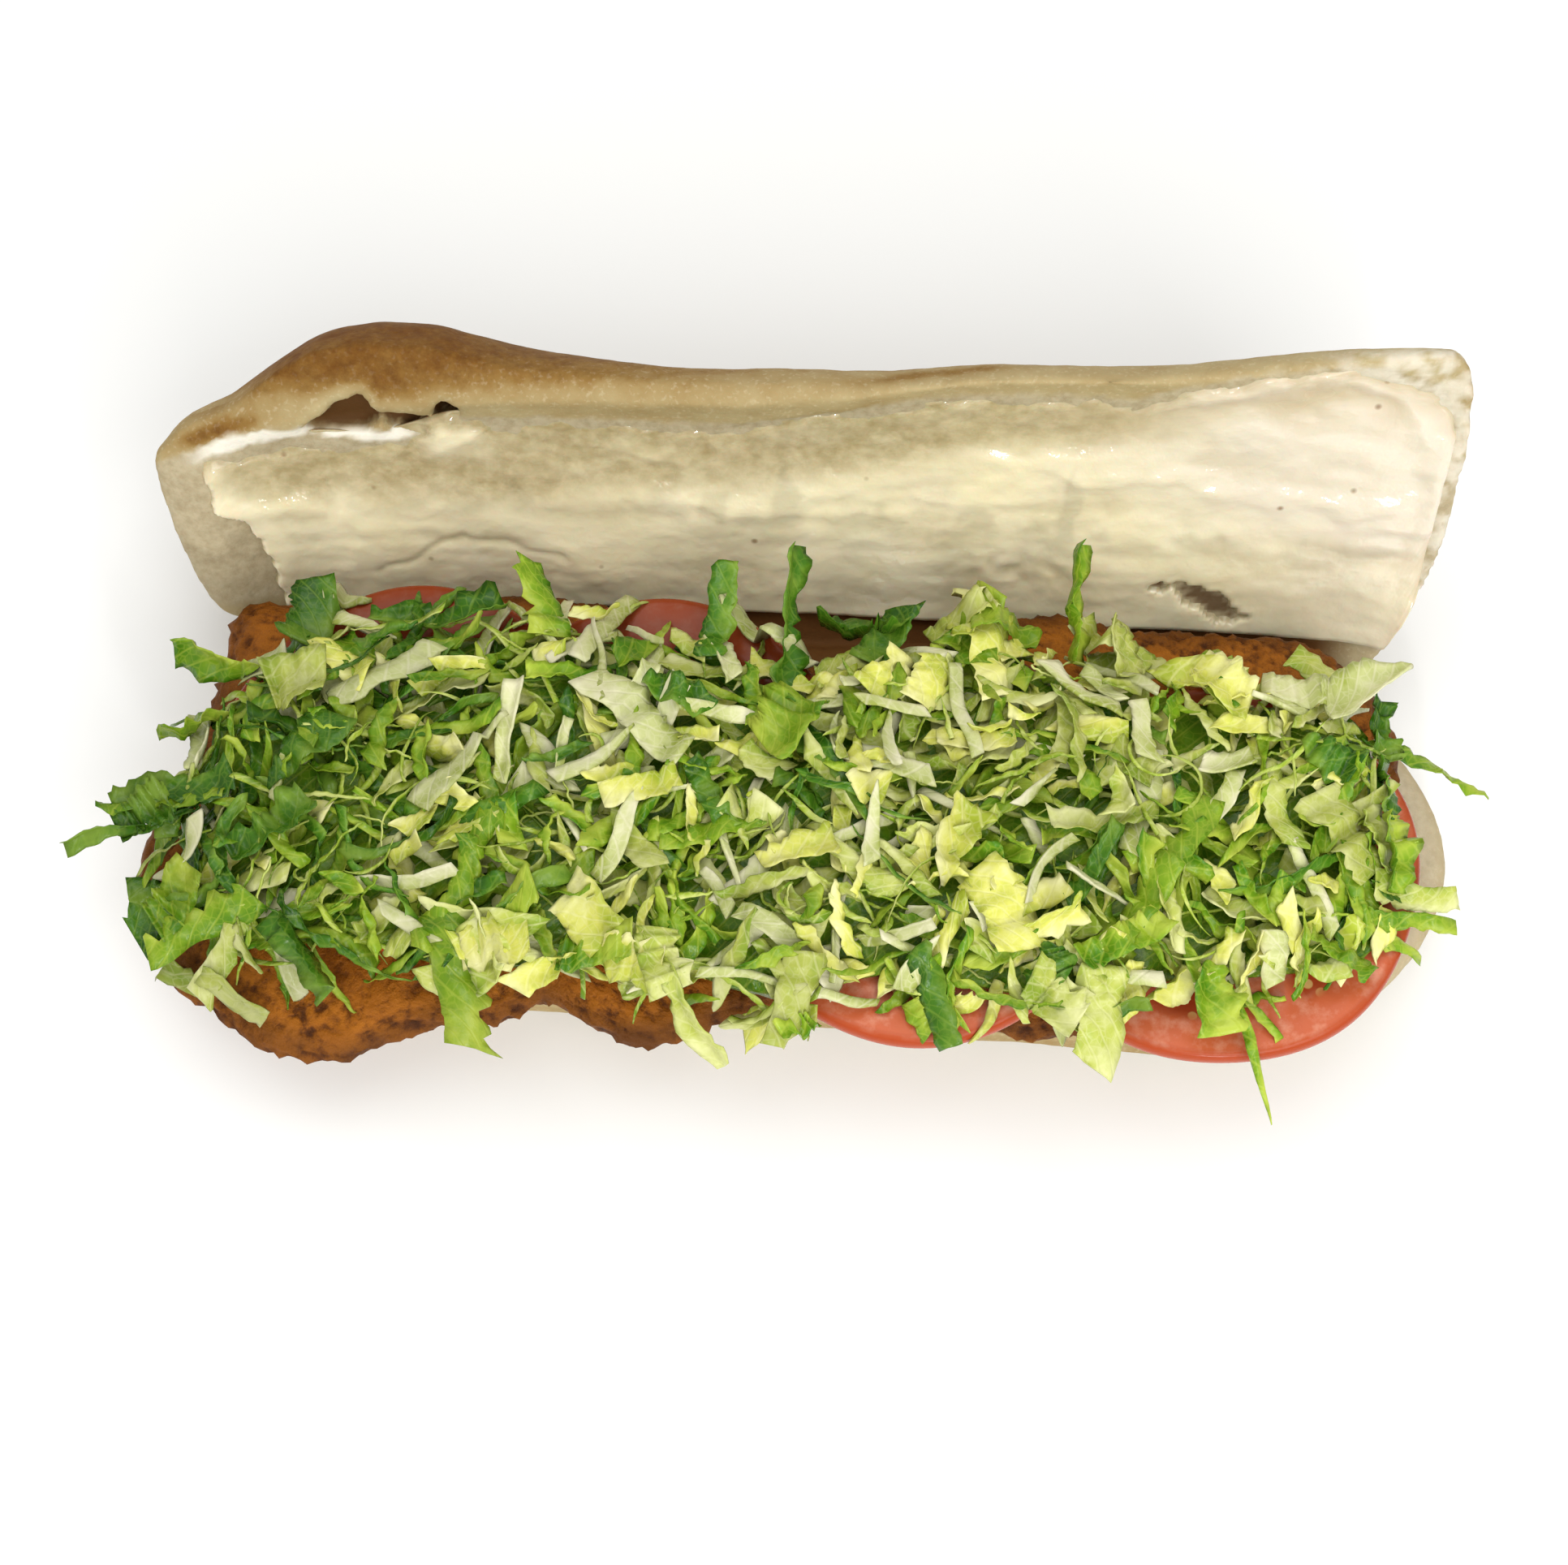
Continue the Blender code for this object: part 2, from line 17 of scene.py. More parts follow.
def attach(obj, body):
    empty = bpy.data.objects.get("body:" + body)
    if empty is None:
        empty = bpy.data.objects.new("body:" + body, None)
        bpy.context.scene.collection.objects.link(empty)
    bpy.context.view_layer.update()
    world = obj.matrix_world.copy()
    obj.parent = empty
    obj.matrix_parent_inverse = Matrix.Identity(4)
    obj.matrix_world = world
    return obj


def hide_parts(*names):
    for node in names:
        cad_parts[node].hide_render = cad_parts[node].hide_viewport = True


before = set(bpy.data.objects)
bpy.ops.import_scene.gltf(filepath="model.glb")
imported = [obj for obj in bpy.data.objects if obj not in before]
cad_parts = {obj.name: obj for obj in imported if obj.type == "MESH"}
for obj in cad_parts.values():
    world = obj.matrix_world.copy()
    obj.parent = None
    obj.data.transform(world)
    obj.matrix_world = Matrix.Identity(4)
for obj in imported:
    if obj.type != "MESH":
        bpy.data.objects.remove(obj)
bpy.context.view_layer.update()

print("solids:", ", ".join(sorted(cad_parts)))

# %% [markdown]
# ## Helpers for meshes
# Sizes along the roll are given as a few pairs of place and size in millimetres. A smooth curve through
# the pairs never overshoots them, so a pair can be read as a real measure. The pieces are made as arrays
# of points, which is quick enough for a hundred thousand of them.

# %% Curves and noise
MM = 0.001


def curve(pairs):
    """A function that gives the size at x, on a smooth curve through the pairs."""
    xs, ys = np.array(pairs, float).T
    slopes = np.diff(ys) / np.diff(xs)
    tangents = np.concatenate([slopes[:1], np.zeros(len(xs) - 2), slopes[-1:]])
    going_on = slopes[:-1] * slopes[1:] > 0
    both = np.where(going_on, slopes[:-1] + slopes[1:], 1)
    tangents[1:-1] = np.where(going_on, 2 * slopes[:-1] * slopes[1:] / both, 0)

    def at(x):
        x = np.clip(x, xs[0], xs[-1])
        i = np.clip(np.searchsorted(xs, x) - 1, 0, len(xs) - 2)
        h = xs[i + 1] - xs[i]
        t = (x - xs[i]) / h
        return (
            (2 * t**3 - 3 * t**2 + 1) * ys[i] + (t**3 - 2 * t**2 + t) * h * tangents[i]
            + (3 * t**2 - 2 * t**3) * ys[i + 1] + (t**3 - t**2) * h * tangents[i + 1]
        )

    return at


def lumps(points, size, seed=0.0, octaves=1):
    """Smooth noise from about -1 to 1 at many points in metres. Its bumps are size metres apart."""
    scaled = (np.asarray(points, float) / size + (seed, 2.3 * seed, -1.7 * seed)).tolist()
    if octaves == 1:
        return np.array([noise.noise(p) for p in scaled])
    return np.array([noise.fractal(p, 0.7, 2.1, octaves) for p in scaled])


def ease(value, low, high):
    """0 below low, 1 above high, and a soft step between them."""
    t = np.clip((value - low) / (high - low), 0, 1)
    return t * t * (3 - 2 * t)


def outward(points, quads):
    """Unit normal at each point of a skin of quads."""
    points, quads = np.asarray(points), np.asarray(quads)
    across = np.cross(points[quads[:, 2]] - points[quads[:, 0]], points[quads[:, 3]] - points[quads[:, 1]])
    total = np.zeros(points.shape)
    for corner in range(4):
        np.add.at(total, quads[:, corner], across)
    return total / np.maximum(np.linalg.norm(total, axis=1, keepdims=True), 1e-12)


# %% [markdown]
# A piece is one mesh object. It can carry values for each point, such as how toasted the crust is there,
# and its material reads them through Attribute nodes.

# %% Make one object from arrays
def make_piece(name, points, faces, finish, values=None):
    mesh = bpy.data.meshes.new(name)
    mesh.from_pydata(np.asarray(points).tolist(), [], faces if isinstance(faces, list) else faces.tolist())
    for label, numbers in (values or {}).items():
        numbers = np.asarray(numbers, np.float32)
        kind, key = ("FLOAT_VECTOR", "vector") if numbers.ndim == 2 else ("FLOAT", "value")
        mesh.attributes.new(label, kind, "POINT").data.foreach_set(key, numbers.ravel())
    mesh.materials.append(finish)
    mesh.shade_smooth()
    piece = bpy.data.objects.new(name, mesh)
    bpy.context.scene.collection.objects.link(piece)
    print(f"{name}: {len(mesh.vertices)} points, {len(mesh.polygons)} faces")
    return piece


def grid_faces(rows, columns, wrap=False, start=0):
    """Quads over rows of points. With wrap, each row closes on itself."""
    r = np.arange(rows - 1)[:, None]
    c = np.arange(columns if wrap else columns - 1)[None, :]
    a = start + r * columns + c
    b = start + r * columns + (c + 1) % columns
    return np.stack([a, b, b + columns, a + columns], -1).reshape(-1, 4)


def sheet_faces(rows, columns):
    """Quads of a thin sheet: its front, its back with as many points again, and its border."""
    front = grid_faces(rows, columns)
    count = rows * columns
    edge = list(range(columns)) + [i * columns + columns - 1 for i in range(1, rows)]
    edge += [(rows - 1) * columns + j for j in range(columns - 2, -1, -1)]
    edge += [i * columns for i in range(rows - 2, 0, -1)]
    border = np.array([(b, a, a + count, b + count) for a, b in zip(edge, edge[1:] + edge[:1])])
    return np.concatenate([front, front[:, ::-1] + count, border])


def closed_loft(rings):
    """Points and faces of a skin over rings of equal length, closed by a fan at each end."""
    rings = np.asarray(rings)
    count = rings.shape[1]
    points = np.concatenate([rings.reshape(-1, 3), rings[0].mean(0)[None], rings[-1].mean(0)[None]])
    faces = grid_faces(len(rings), count, wrap=True).tolist()
    first, last = len(points) - 2, (len(rings) - 1) * count
    faces += [((k + 1) % count, k, first) for k in range(count)]
    faces += [(last + k, last + (k + 1) % count, first + 1) for k in range(count)]
    return points, faces


def place_piece(piece, slot, *nodes):
    """The piece rides on the sandwich and stands for its solid, which is hidden. The slot is not used."""
    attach(piece, "root")
    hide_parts(*nodes)


# %% [markdown]
# ## Helpers for materials
# Colours are written as sRGB hex values, as a colour picker shows them, and turned to linear light.
# One function adds a node, sets it up and links its inputs.

# %% Colours and nodes
def linear(hex_colour):
    """Linear light of a hex colour, with an alpha of 1."""
    parts = [int(hex_colour[i:i + 2], 16) / 255 for i in (1, 3, 5)]
    return tuple(p / 12.92 if p <= 0.04045 else ((p + 0.055) / 1.055) ** 2.4 for p in parts) + (1.0,)


def add(tree, kind, inputs=None, **settings):
    """Adds a shader node. inputs gives each socket a plain value, or another node's output to link."""
    made = tree.nodes.new("ShaderNode" + kind)
    for name, value in settings.items():
        setattr(made, name, value)
    for name, value in (inputs or {}).items():
        if isinstance(value, bpy.types.NodeSocket):
            tree.links.new(value, made.inputs[name])
        else:
            made.inputs[name].default_value = value
    return made


# %% [markdown]
# A finish is a material with one shader. Its patterns are laid out in metres in the piece's own space, so
# they keep their real size on every piece.

# %% Start a finish
def new_material(name, roughness, ior, subsurface=0.0, depth_mm=1.0, sheen=0.5):
    """A material with its node tree, its shader and the place in metres that its patterns use.

    A sheen of 0.5 is that of a plain smooth surface. Porous ones throw back less.
    """
    print("finish:", name)
    made = bpy.data.materials.new(name)
    made.use_nodes = True
    tree = made.node_tree
    shader = tree.nodes["Principled BSDF"]
    shader.inputs["Roughness"].default_value = roughness
    shader.inputs["IOR"].default_value = ior
    shader.inputs["Specular IOR Level"].default_value = sheen
    shader.inputs["Subsurface Weight"].default_value = subsurface
    shader.inputs["Subsurface Scale"].default_value = depth_mm * MM
    return made, tree, shader, add(tree, "TexCoord").outputs["Object"]


# %% [markdown]
# A few kinds of node come back in every finish, so each has a short function: values that the mesh carries,
# cloudy noise, arithmetic, a ramp from one value to another and a blend of two colours. The last function
# links colour and bump. Relief finer than the mesh is left to the bump.

# %% Nodes that every finish uses
def point_value(tree, label):
    """The value that each point of the piece carries under this label."""
    return add(tree, "Attribute", attribute_name=label).outputs["Fac"]


def noise_texture(tree, place, scale, detail, roughness=0.5):
    """Noise from 0 to 1 with clouds 1 / scale apart."""
    sizes = {"Scale": scale, "Detail": detail, "Roughness": roughness}
    return add(tree, "TexNoise", {"Vector": place, **sizes}).outputs["Fac"]


def calculate(tree, operation, *values):
    """One step of arithmetic on values or outputs."""
    return add(tree, "Math", dict(enumerate(values)), operation=operation).outputs[0]


def ramp(tree, value, low, high, top=1.0, bottom=0.0):
    """bottom where the value is low, top where it is high, and a straight run between them."""
    limits = {"From Min": low, "From Max": high, "To Min": bottom, "To Max": top}
    return add(tree, "MapRange", {"Value": value, **limits}).outputs[0]


def mix(tree, share, first, second):
    """first where the share is 0, second where it is 1. Each is a hex colour or another node's output."""
    first, second = (linear(colour) if isinstance(colour, str) else colour for colour in (first, second))
    return add(tree, "Mix", {0: share, 6: first, 7: second}, data_type="RGBA").outputs[2]


def put_on(tree, shader, colour, height, strength, relief_mm):
    """Links the colour to the shader, and a bump of this height, strength and relief."""
    bump = add(tree, "Bump", {"Height": height, "Strength": strength, "Distance": relief_mm * MM}).outputs[0]
    tree.links.new(colour, shader.inputs["Base Color"])
    tree.links.new(bump, shader.inputs["Normal"])


# %% [markdown]
# ## Camera, light and floor
# The photo looks down on the open sandwich at about 70 degrees, a little turned. A long lens at half a
# metre gives its flat perspective.

# %% Camera
CAMERA_TARGET = Vector((-0.005, 0.007, 0.030))
CAMERA_DISTANCE = 0.52
CAMERA_ELEVATION = math.radians(70)
CAMERA_ROLL = math.radians(2.2)
FRAME_WIDTH = 0.309
SENSOR_MM = 36

towards_camera = Vector((0, -math.cos(CAMERA_ELEVATION), math.sin(CAMERA_ELEVATION)))
level_right = Vector((1, 0, 0))
level_up = towards_camera.cross(level_right)
camera_right = level_right * math.cos(CAMERA_ROLL) + level_up * math.sin(CAMERA_ROLL)
camera_up = level_up * math.cos(CAMERA_ROLL) - level_right * math.sin(CAMERA_ROLL)
camera = bpy.data.objects.new("camera", bpy.data.cameras.new("camera"))
turned = Matrix((camera_right, camera_up, towards_camera)).transposed().to_4x4()
camera.matrix_world = Matrix.Translation(CAMERA_TARGET + CAMERA_DISTANCE * towards_camera) @ turned
camera.data.lens = SENSOR_MM * CAMERA_DISTANCE / FRAME_WIDTH
camera.data.sensor_width = SENSOR_MM
camera.data.clip_start = 0.01
bpy.context.scene.collection.objects.link(camera)
bpy.context.scene.camera = camera
bpy.context.scene.view_settings.view_transform = "Standard"
print(f"camera: {camera.data.lens:.1f} mm lens")


# %% [markdown]
# The light is soft: a large panel above, one from the front right, and a pale world, so that the shadows
# stay open. A small low lamp in front gives wet food its glints.

# %% Light
LIGHT_TARGET = Vector((0, 0, 0.03))


def panel(name, place, size, power):
    """A square soft light that faces the sandwich."""
    light = bpy.data.lights.new(name, "AREA")
    light.size = size
    light.energy = power
    lamp = bpy.data.objects.new(name, light)
    lamp.location = place
    lamp.rotation_euler = (LIGHT_TARGET - Vector(place)).to_track_quat("-Z", "Y").to_euler()
    bpy.context.scene.collection.objects.link(lamp)
    print(f"{name}: {power} W over {size} m")


panel("panel_above", (-0.1, 0.15, 0.9), 0.6, 2.6)
panel("panel_front", (0.25, -0.6, 0.75), 0.6, 4.4)
panel("lamp_front", (0.1, -0.78, 0.32), 0.05, 1.5)
world = bpy.context.scene.world or bpy.data.worlds.new("world")
bpy.context.scene.world = world
world.use_nodes = True
world.node_tree.nodes["Background"].inputs["Color"].default_value = linear("#f4f4f2")
world.node_tree.nodes["Background"].inputs["Strength"].default_value = 0.78

# %% [markdown]
# The floor is a plain pale board, three metres wide, so that its edge never shows. It is part of the stage,
# not of the sandwich.

# %% Floor
FLOOR = 1.5
floor_finish, tree, shader, place = new_material("pale_board", 0.8, 1.45)
paint = mix(tree, noise_texture(tree, place, 3.0, 2.0), "#f2f2f0", "#f7f7f6")
tree.links.new(paint, shader.inputs["Base Color"])
floor_corners = [(-FLOOR, -FLOOR, 0), (FLOOR, -FLOOR, 0), (FLOOR, FLOOR, 0), (-FLOOR, FLOOR, 0)]
floor = make_piece("floor", floor_corners, [(0, 1, 2, 3)], floor_finish)

# %% [markdown]
# ## The roll
# The roll is one piece of soft white bread: a thin golden crust outside and pale crumb where it was cut.
# Its lower half and its lid are lofted from cross-sections, as a boat hull is drawn from its frames.
# A voxel remesh then fuses the two at the hinge into one even skin, fine enough to take small relief.

# %% Sizes of the lower half
# Ends as x, then back and front as y. The front edge runs a little askew, by this much y for each x
BASE_LEFT, BASE_RIGHT = -121, 128.5
BASE_BACK = 42
BASE_FRONT = -37.6
BASE_SKEW = -0.031
# Heights of the cut face and of the widest place, and how the ends round off
BASE_TOP = 22
BASE_WAIST = 12
BASE_END_LENGTH = 58
BASE_BLUNTNESS = 0.05


def signed_power(value, power):
    """A power that keeps the value's sign."""
    return np.sign(value) * np.abs(value) ** power


def stations(left, right, count):
    """Places along the roll, closer together towards both ends."""
    return (left + right) / 2 - (right - left) / 2 * np.cos(np.linspace(0, math.pi, count))


def base_fullness(x):
    """1 along the middle of the lower half, and less where its ends round off."""
    into_end = max(BASE_LEFT + BASE_END_LENGTH - x, x - (BASE_RIGHT - BASE_END_LENGTH), 0) / BASE_END_LENGTH
    return max(max(1 - into_end**2, 0) ** 0.5, BASE_BLUNTNESS)


def base_ring(x, count=72):
    """Cross-section of the lower half at x: a flat-topped body on a rounder, flattened underside."""
    full = base_fullness(x)
    top = BASE_WAIST + (BASE_TOP - BASE_WAIST) * full**0.35
    deep = (BASE_WAIST + 1.6) * full**0.45
    angle = np.linspace(0, 2 * math.pi, count, endpoint=False)
    across, up = np.cos(angle), np.sin(angle)
    front = BASE_FRONT + BASE_SKEW * x
    y = (BASE_BACK + front) / 2 + (BASE_BACK - front) / 2 * full * signed_power(across, 0.75)
    above = BASE_WAIST + (top - BASE_WAIST) * np.abs(up) ** 0.36
    below = BASE_WAIST - deep * np.abs(up) ** 0.8
    z = np.maximum(np.where(up > 0, above, below), 0.0)
    return np.stack([np.full(count, x), y, z], 1) * MM


print(f"lower half: {BASE_RIGHT - BASE_LEFT:.0f} mm long")

# %% [markdown]
# The lid has its own directions: x along the roll, v up its cut face from the hinge, and w into the bread.
# Near its left end the crust has come away from the crumb along the cut edge, and the gap is browned
# inside and darkened with painted shade. The gap is cut into the cross-sections, so that the remesh gives it
# real walls.

# %% Sizes of the lid
HINGE = np.array((0, BASE_BACK * MM, BASE_TOP * MM))
LID_LEAN = math.radians(65)
LID_UP = np.array((0, math.cos(LID_LEAN), math.sin(LID_LEAN)))
LID_BACK = np.array((0, math.sin(LID_LEAN), -math.cos(LID_LEAN)))
LID_ROUNDNESS = 2.4
lid_left, lid_right = -129.5, 123
# Low and high edge of the cut face, as v
lid_low = curve((
    (-129.5, 31), (-127, 17), (-124.5, 7), (-121.5, 0), (-117, -3), (-110, -6), (-100, -11), (106, -11),
    (115, -1), (120, 14), (123, 30),
))
lid_high = curve((
    (-129.5, 38), (-123, 43), (-97, 49.4), (-84, 52), (-72, 55), (-18, 57.5), (12, 61.5), (33, 65), (55, 66),
    (73, 67.5), (102, 72.4), (116, 74), (120, 70), (123, 50),
))
# How far the crust stands above the high edge, how deep the lid is, and how hollow its cut face
lid_rim = curve((
    (-129.5, 1.5), (-125, 3), (-116, 4), (-108, 8.5), (-101, 12.5), (-95, 14.3), (-88, 14), (-80, 12),
    (-70, 8.5), (-60, 6), (-39, 4.2), (-10, 2.8), (12, 0.8), (40, 0.6), (60, 0.6), (80, 0.9), (123, 1.2),
))
lid_depth = curve((
    (-129.5, 5), (-127, 12), (-120, 21), (-105, 29), (-84, 33), (-50, 28), (-10, 23), (50, 21), (100, 18),
    (119, 15), (123, 9),
))
lid_hollow = curve((
    (-129.5, 0), (-121, -1.5), (-110, 2.5), (-90, 5), (0, 6), (80, 5), (115, 3), (123, 0.5),
))


def lid_points(x, v, w):
    """Points in metres from x, v and w in millimetres."""
    x, v, w = np.broadcast_arrays(x, v, w)
    along = np.stack([x * MM, np.zeros(x.shape), np.zeros(x.shape)], -1)
    return HINGE + along + v[..., None] * MM * LID_UP + w[..., None] * MM * LID_BACK


def lid_place(points):
    """x, v and w in millimetres of points in metres."""
    points = np.asarray(points)
    return points[:, 0] / MM, (points - HINGE) @ LID_UP / MM, (points - HINGE) @ LID_BACK / MM


def face_hollow(x, v):
    """w of the cut face, which is deepest along its middle."""
    low, high = lid_low(x), lid_high(x)
    across = np.clip(np.abs(2 * (v - low) / (high - low) - 1), 0, 1)
    return lid_hollow(x) * (1 - across**4)


print(f"lid: {lid_right - lid_left:.0f} mm long")

# %% [markdown]
# The gap between crust and crumb is a cavity about 25 mm long with a thin bridge of crumb across it, and a
# small hole on its right. Its middle and its half width are curves along the roll, and sines make its
# border ragged. Two shallow pockets near the right end are where the crumb tore out with the knife.

# %% The torn gap
gap_middle = curve((
    (-101, 45.6), (-97, 47.4), (-92, 49.6), (-88, 50.6), (-85.5, 50.2), (-83, 49.2), (-79, 48.6),
    (-76, 49.0), (-74.8, 50.6), (-73, 52.0), (-70, 51.6),
))
gap_half = curve((
    (-102, 0.0), (-99, 1.8), (-95, 3.2), (-91, 4.4), (-87.6, 4.3), (-86, 3.0), (-85, 0.7), (-83.4, 3.1),
    (-80, 2.9), (-77, 1.6), (-75, 0.7), (-73.2, 3.4), (-71.2, 2.9), (-69.8, 0.0),
))
gap_depth = curve(((-100, 2.5), (-94, 4.5), (-88, 5), (-84, 4), (-76, 6), (-73, 9), (-70.5, 9)))
# Middle as x and v, half sizes along and across, and lean
POCKETS = ((79.5, 10, 6.5, 2.8, -0.45), (69, 13.2, 1.8, 1.3, 0.0))


def gap_share(x, v):
    """1 inside the gap, 0 outside it, with a ragged border."""
    ragged = 1.3 * np.sin(1.3 * x + 0.8) + 0.9 * np.sin(2.9 * x + 1) + 0.5 * np.sin(3.1 * v)
    half = gap_half(x)
    away = np.abs(v - gap_middle(x))
    open_here = ease(half, 0.2, 0.8)
    return open_here * (1 - ease(away + 0.4 * ragged, half - 0.3, half + 0.3))


def pocket_away(x, v):
    """Distance from the nearer pocket, where 1 is its border."""
    away = np.full(np.shape(x), 9.0)
    for middle_x, middle_v, half_x, half_v, lean in POCKETS:
        turned_v = v - middle_v - lean * (x - middle_x)
        away = np.minimum(away, np.hypot((x - middle_x) / half_x, turned_v / half_v))
    return away + 0.14 * np.sin(1.7 * x + 0.9 * v) + 0.12 * np.sin(2.6 * v - 0.8 * x)


gap_places = np.linspace(-102, -69.8, 200)
print(f"gap: up to {2 * gap_half(gap_places).max():.1f} mm wide, {gap_depth(gap_places).max():.0f} mm deep")

# %% [markdown]
# A cross-section of the lid goes up its cut face, over the rim and round the dome of crust behind. The
# front has more points near its high edge, where the gap opens.

# %% Cross-sections of the lid
def lid_dome(x, count=46):
    """v and w of the lid's outside, from the top of its rim round the back to its low edge."""
    low, high = float(lid_low(x)), float(lid_high(x)) + float(lid_rim(x))
    angle = math.pi * (0.5 - (np.linspace(0, 11, count) + 0.35) / 11.7)
    v = (high + low) / 2 + (high - low) / 2 * signed_power(np.sin(angle), 2 / LID_ROUNDNESS)
    return v, float(lid_depth(x)) * np.abs(np.cos(angle)) ** (2 / LID_ROUNDNESS) - 0.8


def front_depth(x, v):
    """w of the lid's front: its hollow cut face, and above that the rim that leans back to the dome."""
    lean = 0.14 * lid_depth(x) - 0.8
    over_edge = np.clip((v - lid_high(x)) / lid_rim(x), 0, 1)
    return face_hollow(x, np.minimum(v, lid_high(x))) + lean * over_edge


def lid_ring(x):
    """Closed cross-section of the lid at x, with the gap cut into it."""
    low, high = float(lid_low(x)), float(lid_high(x))
    dome_v, dome_w = lid_dome(x)
    body = np.linspace(low + 0.02 * (high - low), high - 9, 26)
    edge = np.linspace(high - 8.6, high, 20)
    rim = np.linspace(high, dome_v[0], 16)[1:-1]
    v = np.concatenate([body, edge, rim])
    front = lid_points(x, v, front_depth(x, v) + gap_depth(x) * gap_share(x, v))
    return np.concatenate([front, lid_points(x, dome_v, dome_w)])


print(f"points round the lid: {len(lid_ring(0.0))}")

# %% [markdown]
# The knife didn't follow the crust: the crumb ends a few millimetres below the high edge of the lid. Crust,
# crumb and mayonnaise all take their border from this one curve.

# %% Where the cut face ends and the crust begins
crumb_top = curve((
    (-129.5, 38), (-124, 41.2), (-111, 46), (-103, 47.4), (-98, 47.6), (-92, 46.6), (-86, 46), (-78, 47.4),
    (-70, 50), (-46, 51), (-25, 50.2), (-2, 54), (13, 58), (36, 61), (58, 61.2), (70, 65.5), (80, 68.5),
    (100, 71.6), (114, 68), (119.5, 60), (123, 48),
))
print(f"crumb ends {lid_high(0.0) - crumb_top(0.0):.1f} mm below the edge in the middle")

# %% [markdown]
# Two closed lofts that only touch aren't one loaf. A voxel remesh melts them into one skin of even quads,
# and a few rounds of smoothing take its steps away. A Boolean union would keep long thin faces, which can't
# take the relief that follows.

# %% Fuse lower half and lid
BREAD_VOXEL = 1.15 * MM
SMOOTHING_ROUNDS = 3


def fused(lofts, voxel, rounds):
    """One even skin around several closed lofts, smoothed a little. Gives its points, normals and faces."""
    points, faces = [], []
    for loft_points, loft_faces in lofts:
        faces += [tuple(i + len(points) for i in face) for face in loft_faces]
        points += np.asarray(loft_points).tolist()
    mesh = bpy.data.meshes.new("rough")
    mesh.from_pydata(points, [], faces)
    rough = bpy.data.objects.new("rough", mesh)
    bpy.context.scene.collection.objects.link(rough)
    remesh = rough.modifiers.new("Even skin", "REMESH")
    remesh.mode = "VOXEL"
    remesh.voxel_size = voxel
    smooth = rough.modifiers.new("Soften", "SMOOTH")
    smooth.factor = 0.5
    smooth.iterations = rounds
    graph = bpy.context.evaluated_depsgraph_get()
    even = bpy.data.meshes.new_from_object(rough.evaluated_get(graph))
    bpy.data.objects.remove(rough)
    place = np.empty(len(even.vertices) * 3)
    even.vertices.foreach_get("co", place)
    out = np.empty(len(even.vertices) * 3)
    even.vertex_normals.foreach_get("vector", out)
    corners = [tuple(face.vertices) for face in even.polygons]
    return place.reshape(-1, 3), out.reshape(-1, 3), corners


base_rings = [base_ring(x) for x in stations(BASE_LEFT, BASE_RIGHT, 90)]
beside_gap = np.linspace(-104, -66, 60)
lid_rings = [lid_ring(x) for x in np.sort(np.concatenate([stations(lid_left, lid_right, 90), beside_gap]))]
lofts = [closed_loft(base_rings), closed_loft(lid_rings)]
bread_points, bread_out, bread_faces = fused(lofts, BREAD_VOXEL, SMOOTHING_ROUNDS)
print(f"bread: {len(bread_points)} points after fusing")

# %% [markdown]
# Each point now learns what it is: crumb or crust, and how far inside the gap. The crumb ends at a ragged
# line, as torn bread does, so noise moves its border. The material reads these values later.

# %% Crumb, crust and gap
bread_x, bread_v, bread_w = lid_place(bread_points)
facing_front = -(bread_out @ LID_BACK)
face_depth = bread_w - front_depth(bread_x, bread_v)
on_lid = ease(bread_v, 0, 5) * ease(bread_points[:, 1], 36 * MM, 41 * MM)
# Crumb: the cut face of the lid up to a ragged line, and the top of the lower half inside its rim
edge_noise = lumps(bread_points, 3.5 * MM, 31.0, octaves=2)
lid_crumb = on_lid * ease(facing_front, 0.3, 0.7) * (1 - ease(face_depth, 1.2, 2.4))
lid_crumb *= 1 - ease(bread_v - crumb_top(bread_x) - 0.9 * edge_noise, -0.5, 0.5)
base_crumb = (1 - on_lid) * ease(bread_out[:, 2], 0.55, 0.85)
base_crumb = base_crumb * ease(bread_points[:, 2], 17 * MM, 20 * MM)
crumb = np.maximum(lid_crumb, base_crumb)
gap = gap_share(bread_x, bread_v) * on_lid * ease(face_depth, 0.8, 3.5) * (bread_w < 16)
in_pocket = 0.8 * (1 - ease(pocket_away(bread_x, bread_v), 0.6, 1.05)) * on_lid * (bread_w < 10)
gap = np.maximum(gap, in_pocket)
print(f"crust on {np.mean(crumb < 0.5):.0%} of the bread's points, gap on {np.mean(gap > 0.5):.1%}")

# %% [markdown]
# Baked dough has soft dents, and its skin wrinkles as it cools. Cut crumb has pores instead. Both move the
# points themselves, so that they also show in the outline and in raking light.

# %% Baked relief
dents = lumps(bread_points, 34 * MM, 2.0)
wrinkles = lumps(bread_points * (0.6, 1, 1), 7 * MM, 5.0, octaves=3)
pores = lumps(bread_points, 2.6 * MM, 8.0, octaves=2)
relief = (1 - crumb) * (0.9 * dents + 0.24 * wrinkles) + crumb * (0.22 * wrinkles + 0.2 * pores)
bread_points = bread_points + bread_out * (relief * (1 - gap) * MM)[:, None]
bread_points[:, 2] = np.maximum(bread_points[:, 2], 0)
print(f"relief from {relief.min():.1f} to {relief.max():.1f} mm")

# %% [markdown]
# An oven browns what stands highest and leaves the sides pale. Here the crust is darkest on the crown of
# the lid towards its left end, and pale beside the cut and under the loaf. Toast is one number for each
# point, built up from soft steps along the roll and across it, with blotches of noise.

